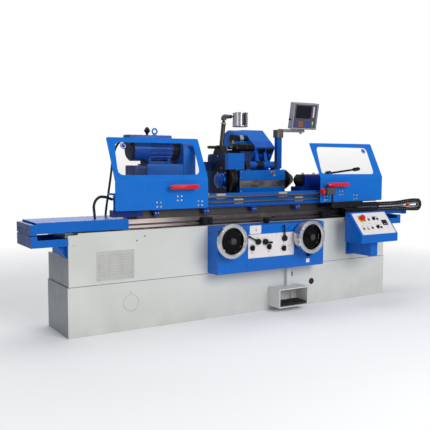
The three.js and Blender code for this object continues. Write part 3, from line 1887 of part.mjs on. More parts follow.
function upperRunSolid() {
  const outer = chain.tail / 2 + chain.play + chain.wall;
  const wide = [chain.bracketLeft, chain.bracketRight];
  const back = table.front - fit;
  const shelfTop = chain.upperZ - outer + weld;
  return join(
    chainRun(chain.upperZ, chain.upperLeft, chain.upperRight),
    block(wide, [chain.y, back], [shelfTop - weld - chain.bracketThick, shelfTop - weld / 2]),
    block(wide, [back - chain.bracketThick, back], [chain.bracketLow, shelfTop - weld]),
  );
}

function lowerRunSolid() {
  const outer = chain.tail / 2 + chain.play + chain.wall;
  const long = [chain.trayLeft, chain.trayRight];
  const wallBack = chain.y + outer + chain.trayThick - weld / 2;
  return join(
    chainRun(chain.lowerZ, chain.lowerLeft, chain.lowerRight),
    block(long, [wallBack - chain.trayThick, wallBack], [chain.trayLow, chain.lowerZ]),
    block(long, [wallBack - chain.trayThick, -fit], [chain.trayLow, chain.trayLow + chain.trayThick]),
  );
}

function chainLoopSolid() {
  const half = chain.tail / 2;
  const { upperZ, lowerZ, bulgeX, loopX, loopRadius } = chain;
  const midZ = (upperZ + lowerZ) / 2;
  const ease = (loopX - bulgeX) / 2;
  const outer = loopRadius + half;
  const inner = loopRadius - half;
  const shape = new THREE.Shape();
  shape.moveTo(chain.upperTailEnd, upperZ + half);
  shape.lineTo(bulgeX, upperZ + half);
  shape.bezierCurveTo(bulgeX + ease, upperZ + half, loopX - ease, midZ + outer, loopX, midZ + outer);
  shape.absarc(loopX, midZ, outer, Math.PI / 2, -Math.PI / 2, true);
  shape.bezierCurveTo(loopX - ease, midZ - outer, bulgeX + ease, lowerZ - half, bulgeX, lowerZ - half);
  shape.lineTo(chain.lowerTailEnd, lowerZ - half);
  shape.lineTo(chain.lowerTailEnd, lowerZ + half);
  shape.lineTo(bulgeX, lowerZ + half);
  shape.bezierCurveTo(bulgeX + ease, lowerZ + half, loopX - ease, midZ - inner, loopX, midZ - inner);
  shape.absarc(loopX, midZ, inner, -Math.PI / 2, Math.PI / 2, false);
  shape.bezierCurveTo(loopX - ease, midZ + inner, bulgeX + ease, upperZ - half, bulgeX, upperZ - half);
  shape.lineTo(chain.upperTailEnd, upperZ - half);
  shape.closePath();
  const points = shape.getPoints(roundSides / 2).map(({ x, y }) => [x, y]);
  return prism("y", points, around(chain.y, half));
}

// The machine, piece by piece

part("bed", bedSolid(), lightGrey);
part("left_trough", troughSolid(-1, cover.reach), blue);
part("right_trough", troughSolid(1, trough.rightReach), blue);
part("apron_box", apronSolid(), blue);
part("pedal_housing", pedalHouseSolid(), lightGrey);
part("console", consoleSolid(), blue);
part("chain_lower_run", lowerRunSolid(), black);

part("lower_table", lowerTableSolid(), steel);
part("left_way_cover", coverSolid(-1, cover.inner, bed.length / 2 + cover.reach), blue);
part("right_way_cover", coverSolid(1, cover.rightInner, bed.length / 2 + cover.rightReach), blue);
part("chain_upper_run", upperRunSolid(), black);
part("left_dog", dogSolid(dog.leftX), black);
part("right_dog", dogSolid(dog.rightX), black);
part("chain_loop", chainLoopSolid(), black);

part("swivel_table", swivelTableSolid(), castGrey);
part("guard_carrier", carrierSolid(), blue);
part("upper_rod", guideRodSolid(rod.upperZ, upperSupports), steel);
part("lower_rod", guideRodSolid(rod.lowerZ, lowerSupports), steel);
part("stop_box", stopBoxSolid(), readoutGrey);
part("conduit_loop", ribbedHose(loopRoute), rubber);
part("conduit_straight", plainHose(feedRoute, feedConduit.radius, feedConduit.sides, feedConduit.steps), rubber);

part("left_door", doorSolid(leftDoor), blue);
part("left_window", paneSolid(leftDoor), clear);
part("left_handle", doorHandleSolid(leftDoor), red);
part("right_door", doorSolid(rightDoor), blue);
part("right_window", paneSolid(rightDoor), clear);
part("right_handle", doorHandleSolid(rightDoor), red);

part("workhead_body", workheadSolid(), blue);
part("workhead_motor", workMotorSolid(), blue);
part("workhead_spindle", workSpindleSolid(), steel);
part("tailstock_body", tailstockSolid(), navy);
part("tailstock_quill", quillSolid(), black);

part("wheelhead_body", wheelheadSolid(), blue);
part("grinding_wheel", wheelSolid(), abrasive);
part("wheel_guard", guardSolid(), navy);
part("belt_guard", beltGuardSolid(), black);
part("wheel_motor", wheelMotorSolid(), blue);
part("internal_motor_box", internalBoxSolid(), blue);
part("internal_bracket", internalBracketSolid(), blue);
part("internal_spindle", internalSpindleSolid(), black);
part("lamp_post", lampPostSolid(), black);
part("readout_arm", readoutArmSolid(), readoutGrey);
part("pedal", pedalSolid(), rubber);

// Pieces built about their own pivot
const leverFrame = frameAt([quillLever.x, quillLever.y, quillLever.z]);
part("quill_lever", quillLeverSolid(), black, leverFrame);

const armFrame = frameAt([lamp.topX, lamp.topY, lamp.topZ + lamp.ball + lamp.postRadius + fit]);
part("lamp_arm", lampArmSolid(), black, armFrame);

const lampFrame = frameAt([lamp.headX, lamp.headY, lamp.headZ]);
part("lamp_head", lampHeadSolid(), steel, lampFrame);

const displayFrame = frameAt([readout.boxX, readout.barY, readout.barZ], readout.tilt * degree);
part("readout_box", readoutBoxSolid(), readoutGrey, displayFrame);

// Controls on upright panels, whose frames have Z towards the operator and Y up
const upright = Math.PI / 2;
const wheelFace = apron.front - handwheel.bossProud;

const tableWheelFrame = frameAt([tableWheel.x, wheelFace, tableWheel.z], upright);
part("table_handwheel", tableWheelSolid(), steel, tableWheelFrame);

const feedWheelFrame = frameAt([feedWheel.x, wheelFace, feedWheel.z], upright);
part("feed_handwheel", handwheelSolid(feedWheel), steel, feedWheelFrame);

const throttleFrame = frameAt([throttle.x, apron.front, throttle.z], upright);
part("throttle_lever", leverSolid(throttle), black, throttleFrame);

const starterFrame = frameAt([starter.x, apron.front, starter.z], upright);
part("start_lever", leverSolid(starter), black, starterFrame);

const feederFrame = frameAt([feeder.x, apron.front, feeder.z], upright);
part("feed_lever", leverSolid(feeder), black, feederFrame);

const reverserFrame = frameAt([apron.postX, apron.postFront, apron.postZ], upright);
part("reversing_lever", leverSolid(reverser, apron.pinRadius), black, reverserFrame);

apronKnobs.forEach(({ name, x, z }) => {
  const knobFrame = frameAt([x, apron.front, z], upright);
  part(name, knobSolid(dialKnob), black, knobFrame);
});

// Controls on the console's slope
const stopFrame = frameAt(slopePlace(stopPlace.x, stopPlace.down), slopeTurn);
part("console_stop", turned("z", [0, 0], mushroomProfile(), gripSides), red, stopFrame);

selectorPlaces.forEach(({ name, x, down }) => {
  const selectorFrame = frameAt(slopePlace(x, down), slopeTurn);
  part(name, knobSolid(selector), black, selectorFrame);
});

// The stop button points along the table, out of its box's left side
const stalkFrame = frameAt([stopBox.left, (stopBox.front + stopBox.rear) / 2, (stopBox.low + stopBox.high) / 2]);
stalkFrame.rotation.y = -Math.PI / 2;
part("stop_button", turned("z", [0, 0], mushroomProfile(), gripSides), red, stalkFrame);

// The origin is on the floor, below the middle of the machine's outline
machine.updateMatrixWorld(true);
const bounds = new THREE.Box3().setFromObject(machine);
const middle = bounds.getCenter(new THREE.Vector3());
machine.position.set(-middle.x, -middle.y, -bounds.min.z);

export default machine;
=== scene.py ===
from math import atan2, cos, pi, radians, sin

import bmesh
import bpy
from mathutils import Matrix, Vector


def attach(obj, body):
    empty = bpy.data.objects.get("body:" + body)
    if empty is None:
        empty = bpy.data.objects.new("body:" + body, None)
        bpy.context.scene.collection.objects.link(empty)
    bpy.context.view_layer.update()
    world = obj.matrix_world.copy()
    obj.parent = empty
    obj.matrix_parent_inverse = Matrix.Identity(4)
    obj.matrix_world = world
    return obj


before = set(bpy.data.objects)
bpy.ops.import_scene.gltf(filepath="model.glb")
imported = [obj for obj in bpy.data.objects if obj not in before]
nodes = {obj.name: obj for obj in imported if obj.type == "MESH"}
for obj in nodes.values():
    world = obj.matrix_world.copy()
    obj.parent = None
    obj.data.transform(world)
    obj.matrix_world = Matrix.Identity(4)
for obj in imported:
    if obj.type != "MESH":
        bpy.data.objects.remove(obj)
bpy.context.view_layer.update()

# Places and sizes are in millimetres in the machine's own frame: X along the table, Y away from the operator, Z up.
ORIGIN = Vector((78.5, 500.0, 0.0))


def rgb(red, green, blue):
    """A colour given in display values from 0 to 255, as linear values."""
    out = []
    for part in (red, green, blue):
        part /= 255
        out.append(part / 12.92 if part <= 0.04045 else ((part + 0.055) / 1.055) ** 2.4)
    return (*out, 1.0)


# ---- camera and light ----


def add_object(name, data):
    obj = bpy.data.objects.new(name, data)
    bpy.context.scene.collection.objects.link(obj)
    return obj


# Fitted to the photograph: directions in degrees, place in metres, lens in millimetres
heading, pitch, roll = (radians(angle) for angle in (31.83, 4.954, 0.163))
CAMERA_PLACE = (-3.0371, -4.7430, 1.2337)
CAMERA_LENS = 54.74

forward = Vector((sin(heading) * cos(pitch), cos(heading) * cos(pitch), -sin(pitch)))
level = forward.cross(Vector((0, 0, 1))).normalized()
upright = level.cross(forward)
right = level * cos(roll) + upright * sin(roll)
up = upright * cos(roll) - level * sin(roll)
camera = add_object("camera", bpy.data.cameras.new("camera"))
camera.data.lens = CAMERA_LENS
camera.data.sensor_width = 36
camera.data.clip_end = 200
turn = Matrix((right, up, -forward)).transposed().to_4x4()
camera.matrix_world = Matrix.Translation(CAMERA_PLACE) @ turn
bpy.context.scene.camera = camera


def lamp(name, place, aim, size, power):
    """A soft lamp of the given width and height, in metres and watts."""
    light = bpy.data.lights.new(name, "AREA")
    light.shape = "RECTANGLE"
    light.size, light.size_y = size
    light.energy = power
    obj = add_object(name, light)
    obj.location = place
    obj.rotation_mode = "QUATERNION"
    obj.rotation_quaternion = (Vector(aim) - Vector(place)).to_track_quat("-Z", "Y")


lamp("key", (0.4, -6.0, 3.3), (0.0, 0.0, 0.75), (3.8, 2.8), 217)
lamp("top", (0.0, 0.6, 5.2), (0.0, 0.0, 0.8), (5.0, 3.5), 80)
lamp("side", (-6.0, -1.6, 2.2), (-0.6, 0.0, 0.7), (2.5, 2.5), 30)
lamp("back", (1.5, 5.5, 3.2), (0.0, 0.0, 0.8), (4.0, 2.5), 60)

world = bpy.data.worlds.new("studio")
bpy.context.scene.world = world
world.use_nodes = True
tree = world.node_tree
tree.nodes.clear()


def background(colour, strength):
    node = tree.nodes.new("ShaderNodeBackground")
    node.inputs["Color"].default_value = colour
    node.inputs["Strength"].default_value = strength
    return node


surround = background((0.93, 0.96, 1.0, 1), 0.42)
backdrop = background((1, 1, 1, 1), 1.0)
# The camera sees the backdrop, straight or through a window; the piece is lit by the surround.
path = tree.nodes.new("ShaderNodeLightPath")
seen = tree.nodes.new("ShaderNodeMath")
seen.operation = "MAXIMUM"
mixed = tree.nodes.new("ShaderNodeMixShader")
sky = tree.nodes.new("ShaderNodeOutputWorld")
for source, target in (
    (path.outputs["Is Camera Ray"], seen.inputs[0]),
    (path.outputs["Is Transmission Ray"], seen.inputs[1]),
    (seen.outputs[0], mixed.inputs["Fac"]),
    (surround.outputs[0], mixed.inputs[1]),
    (backdrop.outputs[0], mixed.inputs[2]),
    (mixed.outputs[0], sky.inputs["Surface"]),
):
    tree.links.new(source, target)

bpy.context.scene.view_settings.view_transform = "Standard"


# ---- materials ----

EDGE_RADIUS = 0.0025  # metres
BUMP_DEPTH = 0.0006  # metres
DIRT_TOP = 260
# The rounded normal against the flat one: worn through below the first, whole above the second
WORN, WHOLE = 0.86, 0.985
SOIL = rgb(96, 92, 84)


class Look:
    """One procedural material."""

    def __init__(self, name, colour, rough, metal=0.0, zones=None):
        self.material = bpy.data.materials.new(name)
        self.material.use_nodes = True
        self.tree = self.material.node_tree
        self.tree.nodes.clear()
        self.shader = self.add("BsdfPrincipled")
        self.out = self.add("OutputMaterial", {"Surface": self.shader.outputs["BSDF"]})
        self.coordinates = self.add("TexCoord").outputs["Object"]
        to_machine = {0: self.coordinates, 1: (1000, 1000, 1000), 2: ORIGIN}
        place = self.add("VectorMath", to_machine, operation="MULTIPLY_ADD")
        self.axes = self.add("SeparateXYZ", {0: place.outputs[0]}).outputs
        self.colour, self.rough, self.metal = colour, rough, metal
        if zones:
            zones(self)

    def add(self, kind, inputs=None, **settings):
        node = self.tree.nodes.new("ShaderNode" + kind)
        for key, value in settings.items():
            setattr(node, key, value)
        self.feed(node, inputs or {})
        return node

    def feed(self, node, inputs):
        """Links each input to a socket, or sets it to a value."""
        for key, value in inputs.items():
            if isinstance(value, bpy.types.NodeSocket):
                self.tree.links.new(value, node.inputs[key])
            else:
                node.inputs[key].default_value = value

    def math(self, operation, a, b=0.0, clamp=False):
        return self.add("Math", {0: a, 1: b}, operation=operation, use_clamp=clamp).outputs[0]

    def blend(self, mask, a, b):
        """a where the mask is 0, b where it is 1."""
        colours = isinstance(a, tuple) or isinstance(b, tuple)
        kind = "RGBA" if colours or getattr(a, "type", "") in ("RGBA", "VECTOR") else "FLOAT"
        first, second, result = (6, 7, 2) if kind == "RGBA" else (2, 3, 0)
        return self.add("Mix", {0: mask, first: a, second: b}, data_type=kind).outputs[result]

    # masks, each 1 inside and 0 outside

    def over(self, axis, value):
        return self.math("GREATER_THAN", self.axes[axis], value)

    def under(self, axis, value):
        return self.math("LESS_THAN", self.axes[axis], value)

    def band(self, axis, low, high):
        return self.both(self.over(axis, low), self.under(axis, high))

    def box(self, x=(None, None), y=(None, None), z=(None, None)):
        """Between the two limits of each axis, where None leaves a side open."""
        mask = 1.0
        for axis, (low, high) in zip("XYZ", (x, y, z)):
            if low is not None:
                mask = self.both(mask, self.over(axis, low))
            if high is not None:
                mask = self.both(mask, self.under(axis, high))
        return mask

    def near(self, axis, centre, radius):
        """Within radius of the line along axis through centre, the two other coordinates in order."""
        first, second = [a for a in "XYZ" if a != axis]
        du = self.math("SUBTRACT", self.axes[first], centre[0])
        dv = self.math("SUBTRACT", self.axes[second], centre[1])
        squares = self.math("ADD", self.math("MULTIPLY", du, du), self.math("MULTIPLY", dv, dv))
        return self.math("LESS_THAN", squares, radius * radius)

    def proud(self, y, z, out, height):
        """Further than height in front of the plane through y and z that faces out."""
        ahead = self.math("MULTIPLY", self.math("SUBTRACT", self.axes["Y"], y), out[0])
        above = self.math("MULTIPLY", self.math("SUBTRACT", self.axes["Z"], z), out[1])
        return self.math("GREATER_THAN", self.math("ADD", ahead, above), height)

    def both(self, a, b):
        return self.math("MULTIPLY", a, b)

    def either(self, a, b):
        return self.math("MAXIMUM", a, b)

    def outside(self, a):
        return self.math("SUBTRACT", 1.0, a)

    def zone(self, mask, colour, rough=None, metal=None):
        self.colour = self.blend(mask, self.colour, colour)
        if rough is not None:
            self.rough = self.blend(mask, self.rough, rough)
        if metal is not None:
            self.metal = self.blend(mask, self.metal, metal)

    def noise(self, scale, detail=3.0, stretch=(1, 1, 1)):
        place = self.add("VectorMath", {0: self.coordinates, 1: stretch}, operation="MULTIPLY")
        return self.add("TexNoise", {"Vector": place.outputs[0], "Scale": scale, "Detail": detail}).outputs["Fac"]

    def spread(self, value, low, high, start=0.3, end=0.7):
        """Takes start to low and end to high."""
        limits = {"From Min": start, "From Max": end, "To Min": low, "To Max": high}
        return self.add("MapRange", {"Value": value, **limits}).outputs["Result"]

    def finish(self, shade, shade_scale, grain, grain_scale, stretch=(1, 1, 1), gloss=0.08, wear=None, dirt=0.0):
        """Sets the shader up and gives the material back.

        shade is the drift of light and dark, grain the fine bump, and gloss the drift of roughness. wear is the colour
        of rubbed edges, and dirt the soiling low down.
        """
        drift = self.spread(self.noise(shade_scale), 1 - shade, 1 + shade)
        fine = self.noise(grain_scale, 2.0, stretch)
        drift = self.math("MULTIPLY", drift, self.spread(fine, 1 - shade / 2, 1 + shade / 2))
        plain = self.colour[:3] if isinstance(self.colour, tuple) else self.colour
        colour = self.add("VectorMath", {0: plain, "Scale": drift}, operation="SCALE").outputs[0]
        rounded = self.add("Bevel", {"Radius": EDGE_RADIUS}, samples=4).outputs[0]
        if wear is not None:
            flat = self.add("NewGeometry").outputs["Normal"]
            dot = self.add("VectorMath", {0: rounded, 1: flat}, operation="DOT_PRODUCT")
            edge = self.spread(dot.outputs["Value"], 1.0, 0.0, WORN, WHOLE)
            patch = self.spread(self.noise(26, 4.0), 0.0, 1.0, 0.47, 0.62)
            colour = self.blend(self.math("MULTIPLY", edge, patch), colour, wear)
        if dirt:
            low = self.spread(self.axes["Z"], dirt, 0.0, 0.0, DIRT_TOP)
            patch = self.spread(self.noise(5.0, 5.0), 0.1, 1.0, 0.35, 0.7)
            colour = self.blend(self.math("MULTIPLY", low, patch, True), colour, SOIL)
        rough = self.math("ADD", self.rough, self.spread(self.noise(9.0, 4.0), -gloss, gloss), True)
        bumpy = {"Strength": grain, "Distance": BUMP_DEPTH, "Height": fine, "Normal": rounded}
        bump = self.add("Bump", bumpy).outputs[0]
        self.feed(self.shader, {"Base Color": colour, "Roughness": rough, "Metallic": self.metal, "Normal": bump})
        return self.material


BLUE = rgb(2, 96, 188)
DOOR = rgb(2, 106, 200)
NAVY = rgb(14, 40, 112)
STONE = rgb(206, 207, 203)
BLACK = rgb(19, 19, 21)
STEEL = rgb(188, 188, 186)
CHROME = rgb(214, 214, 216)
ROD = rgb(122, 122, 128)
RED = rgb(214, 22, 32)
YELLOW = rgb(232, 176, 30)
ORANGE = rgb(214, 82, 44)
PRIMER = rgb(120, 150, 190)
PITCH = rgb(14, 14, 16)
INK = rgb(16, 16, 18)
SOOT = rgb(20, 20, 22)
SHADED_BLUE = rgb(34, 62, 116)
SHADED_STONE = rgb(138, 142, 144)

# Faces, as Y, and axes, as the two coordinates across them
HEAD_FRONT = 350
APRON_FRONT = -150
WHEEL_AXIS = (430, 1048)
SIGHT_AXIS = (481, 1108)
TABLE_WHEEL = (-303, 619)
FEED_WHEEL = (424, 613)
LAMP_AXIS = (206, 452)
# Upper and lower edge, as Y and Z, of the internal bracket's sloping front and of the console's desk
CHIN = ((400, 1330), (490, 1180))
DESK = ((-195, 781), (-350, 603))
ROD_Y = -38
PLINTH_TOP = 353.6
WINDOW_Z = (1120, 1330)
UPPER_ROD_Z = 942
LOWER_ROD_Z = 902


def enamel(name, colour=BLUE, rough=0.3, dirt=0.0, zones=None):
    """Sprayed gloss paint with orange peel, slight drift of shade and rubbed edges."""
    look = Look(name, colour, rough, zones=zones)
    look.feed(look.shader, {"Specular IOR Level": 0.22, "Coat Weight": 0.08, "Coat Roughness": 0.15})
    return look.finish(0.05, 2.6, 0.12, 420, gloss=0.07, wear=PRIMER, dirt=dirt)


def metal(name, colour, rough, stretch=(1, 1, 1), zones=None, grain=0.25):
    return Look(name, colour, rough, 1.0, zones).finish(0.07, 6.0, grain, 500, stretch, wear=rgb(222, 222, 222))


def plastic(name, colour=BLACK, rough=0.42, zones=None, grain=0.3):
    look = Look(name, colour, rough, zones=zones)
    look.feed(look.shader, {"Specular IOR Level": 0.2})
    return look.finish(0.08, 8.0, grain, 900, wear=rgb(70, 70, 72))


def rubber(name, colour=BLACK, rough=0.6):
    return Look(name, colour, rough).finish(0.1, 12.0, 0.6, 700, gloss=0.06)


black_plastic = plastic("black_plastic")
steel = metal("turned_steel", STEEL, 0.3)
red_gloss = enamel("red_gloss", RED, 0.2)


# Each marks the parts of one CAD node that have another colour or finish.


def bed_zones(look):
    for ways in (look.box(y=(59, 346), z=(700, None)), look.box(y=(346, None), z=(724, None))):
        look.zone(ways, STEEL, 0.32, 1.0)
    look.zone(look.band("Z", 350.2, PLINTH_TOP), rgb(120, 118, 112), 0.7)
    # The left ends of the plinth and of the upper body, in shade
    look.zone(look.under("X", -1499.4), SHADED_STONE)
    look.zone(look.both(look.under("X", -1491.4), look.over("Z", PLINTH_TOP)), SHADED_STONE)


def end_zones(look):
    # Painted shade on the left end faces of the trough and of the way cover
    look.zone(look.under("X", -1744.4), SHADED_BLUE)


def carrier_zones(look):
    look.zone(look.under("Z", 866), rgb(4, 60, 144))
    pan = look.box(x=(None, -939), z=(None, 868.5))
    look.zone(pan, NAVY)


def rod_zones(height):
    def zones(look):
        support = look.outside(look.near("X", (ROD_Y, height), 9.7))
        look.zone(support, rgb(184, 176, 178), 0.5, 0.1)
    return zones


def door_zones(look):
    look.zone(look.box(y=(-56.5, -18), z=(None, 985)), rgb(176, 178, 180), 0.35, 1.0)


def workhead_zones(look):
    look.zone(look.under("X", -845), NAVY)
    look.zone(look.band("X", -849, -841), rgb(14, 26, 66), 0.5)


def motor_zones(look):
    cowl = look.both(look.under("X", -791), look.under("Z", 1389))
    look.zone(cowl, rgb(14, 74, 166), 0.3)
    # Painted shade: the cowl's rounded left end is painted near-black navy
    look.zone(look.both(cowl, look.under("X", -918)), rgb(10, 18, 44), 0.4)
    look.zone(look.box(x=(-601, None), z=(None, 1389)), rgb(16, 17, 20), 0.5)
    knob = look.both(look.near("Z", (-797, 205), 27), look.over("Z", 1406.5))
    look.zone(knob, BLACK, 0.35)
    look.zone(look.box(x=(-760, -688), z=(1407, None)), rgb(60, 120, 205))


def tailstock_zones(look):
    look.zone(look.over("Z", 1097.5), STEEL, 0.3, 1.0)
    look.zone(look.under("Z", 884), STEEL, 0.35, 1.0)


def quill_zones(look):
    look.zone(look.under("X", 599), CHROME, 0.18, 1.0)


def table_zones(look):
    # Painted sheen: a reflection painted bright at the left, fading towards the middle
    painted_sheen = look.both(look.spread(look.axes["X"], 1.0, 0.0, -900, -520), look.under("Y", 45))
    look.zone(painted_sheen, rgb(216, 198, 194), 0.5, 0.35)


def head_zones(look):
    band = look.box(x=(139, 621), y=(349, 353.5), z=(986, 1046))
    scraped = look.spread(look.noise(14, 5.0, (0.5, 1, 1)), 0.0, 1.0, 0.38, 0.62)
    look.zone(band, look.blend(scraped, rgb(72, 68, 68), rgb(132, 124, 122)), 0.42, 0.6)
    column = look.box(x=(566, None), y=(400, 520), z=(1140, None))
    look.zone(column, rgb(4, 78, 172))
    ears = look.box(x=(200, 534), y=(349, 412), z=(1140, 1215))
    left_ear = look.both(ears, look.under("X", 250.5))
    right_ear = look.both(ears, look.over("X", 499.5))
    look.zone(look.either(left_ear, right_ear), rgb(26, 28, 34), 0.45)
    glass = look.both(look.near("Y", SIGHT_AXIS, 23), look.under("Y", HEAD_FRONT - 0.2))
    look.zone(glass, CHROME, 0.12, 1.0)
    look.zone(look.both(look.near("Y", SIGHT_AXIS, 14), look.under("Y", HEAD_FRONT - 0.2)), rgb(96, 88, 84), 0.1, 0.0)
    look.zone(look.under("Z", 830), rgb(16, 60, 150))


def wheel_zones(look):
    look.zone(look.outside(look.near("X", WHEEL_AXIS, 96)), rgb(38, 38, 42), 0.34, 0.9)
    look.zone(look.near("X", WHEEL_AXIS, 31), CHROME, 0.12, 1.0)


def guard_zones(look):
    hood = look.box(x=(-12, 150), y=(None, 350.5), z=(1141, None))
    # Painted shade: the guard's sides outside the hood are painted dark navy, darker still within the wheel's circle,
    # though guard and hood are one blue
    look.zone(look.outside(hood), rgb(12, 48, 98), 0.5, 1.0)
    look.zone(look.both(look.outside(hood), look.near("X", WHEEL_AXIS, 176)), rgb(12, 30, 58), 0.5, 1.0)
    look.zone(look.both(look.near("X", WHEEL_AXIS, 68), look.under("X", 3.9)), rgb(10, 92, 188), 0.3)
    # Painted shade: the neck between the guard and the head is painted near-black for the shaded gap there
    look.zone(look.over("X", 84.3), INK, 0.5)
    look.zone(hood, BLUE, 0.3)


def belt_zones(look):
    look.zone(look.over("X", 655.3), PITCH, 0.4)
    look.zone(look.both(look.under("X", 655.3), look.over("Z", 960)), rgb(12, 14, 22), 0.4)


def box_zones(look):
    pulley = look.both(look.near("X", (540, 1405), 33), look.under("X", 331.7))
    look.zone(pulley, INK, 0.22)
    # The chrome band on the black pulley is partly a bright spindle part and partly a painted highlight
    look.zone(look.both(pulley, look.band("X", 250, 286)), CHROME, 0.2, 1.0)
    rim = look.both(look.near("X", (600, 1395), 86), look.band("X", 184, 190))
    look.zone(rim, rgb(12, 40, 110), 0.4)


def bracket_zones(look):
    band = look.both(look.near("X", (380, 1178), 34), look.band("X", 317.5, 392.5))
    look.zone(band, rgb(20, 20, 20), 0.45)
    proud = look.both(look.proud(*CHIN[0], (-0.857, -0.514), 0.8), look.over("Z", 1216))
    where = look.either(look.band("X", 379, 421), look.band("X", 469, 515))
    look.zone(look.both(proud, where), PITCH, 0.3)


def spindle_zones(look):
    look.zone(look.under("X", 112.5), rgb(120, 116, 112), 0.25, 1.0)
    look.zone(look.band("X", 150, 153), rgb(150, 150, 150), 0.2, 1.0)
    look.zone(look.band("X", 252, 255), rgb(90, 90, 90), 0.3, 1.0)


def lamp_post_zones(look):
    look.zone(look.under("Z", 1345), rgb(15, 17, 24), 0.5)
    look.zone(look.under("X", 11.9), SOOT, 0.35)


def lamp_arm_zones(look):
    look.zone(look.near("Z", (92, 535), 24), BLACK, 0.4, 0.0)
    look.zone(look.near("Z", (130.2, 484.2), 18), BLACK, 0.4, 0.0)


def lamp_head_zones(look):
    # Painted reflection: a dark band down the front of the chrome head
    painted_reflection = look.box(x=(184, 222), y=(None, 452), z=(1512, 1616))
    look.zone(painted_reflection, rgb(12, 12, 14), 0.25, 0.0)
    seams = look.either(look.band("X", 146.6, 149.0), look.band("X", 164.4, 166.8))
    look.zone(look.both(seams, look.under("Y", 452)), rgb(64, 58, 62), 0.4, 0.6)
    ends = look.either(look.under("Z", 1503.5), look.over("Z", 1624.5))
    look.zone(ends, rgb(40, 40, 42), 0.35, 0.0)


def readout_arm_zones(look):
    clamp = look.box(x=(None, 659.5), z=(1400, None))
    look.zone(look.outside(clamp), rgb(190, 190, 188), 0.28, 1.0)
    look.zone(look.under("Z", 1468.5), BLACK, 0.4, 0.0)
    look.zone(clamp, rgb(104, 100, 86), 0.45, 0.6)


def readout_zones(look):
    look.zone(look.under("X", 741), BLACK, 0.4, 0.0)


def apron_zones(look):
    look.zone(look.both(look.near("Z", (130, -35), 60), look.over("Z", 721.5)), rgb(24, 24, 26), 0.4)
    lock = look.both(look.near("Y", (472, 453), 14), look.under("Y", APRON_FRONT - 0.3))
    look.zone(lock, PITCH, 0.35)
    for axis in (TABLE_WHEEL, FEED_WHEEL):
        boss = look.both(look.near("Y", axis, 38), look.under("Y", APRON_FRONT - 0.3))
        look.zone(boss, rgb(86, 82, 78), 0.35, 0.8)


def console_zones(look):
    # The stop button's collar stands proud of the sloping face.
    collar = look.both(look.proud(*DESK[0], (-0.754, 0.657), 0.7), look.band("X", 930, 1005))
    look.zone(collar, YELLOW, 0.38)


def stop_box_zones(look):
    look.zone(look.under("Z", 935.8), SOOT, 0.4)


def handwheel_zones(axis, dial=None):
    """Dark web and hub, and with dial, a radius, a scale of a hundred ticks."""
    def zones(look):
        look.zone(look.near("Y", axis, 97.5), rgb(30, 30, 32), 0.4, 1.0)
        look.zone(look.near("Y", axis, 26.5), rgb(64, 60, 56), 0.4, 1.0)
        if dial:
            ring = look.both(look.over("Y", -225.6), look.near("Y", axis, dial + 1))
            ring = look.both(ring, look.outside(look.near("Y", axis, 100)))
            du = look.math("SUBTRACT", look.axes["X"], axis[0])
            dv = look.math("SUBTRACT", look.axes["Z"], axis[1])
            turn = look.math("DIVIDE", look.math("ARCTAN2", dv, du), 2 * pi)
            tick = look.math("LESS_THAN", look.math("FRACT", look.math("MULTIPLY", turn, 100)), 0.22)
            long = look.math("LESS_THAN", look.math("FRACT", look.math("MULTIPLY", turn, 10)), 0.022)
            mark = look.either(look.both(tick, look.under("Y", -200)), look.both(long, look.over("Y", -222)))
            look.zone(look.both(ring, mark), SOOT, 0.5, 0.0)
    return zones


def pedal_zones(look):
    look.zone(look.over("Z", 74), rgb(170, 170, 168), 0.3, 1.0)


def clear_sheet(name):
    """Clear polycarbonate with a slight haze, thinner towards the top."""
    look = Look(name, rgb(52, 54, 60), 0.2)
    height = look.spread(look.axes["Z"], 0.09, 0.02, *WINDOW_Z)
    haze = look.math("MULTIPLY", height, look.spread(look.noise(2.2, 4.0), 0.85, 1.15))
    look.feed(look.shader, {"Base Color": look.colour, "Roughness": look.rough, "IOR": 1.45, "Alpha": haze})
    return look.material


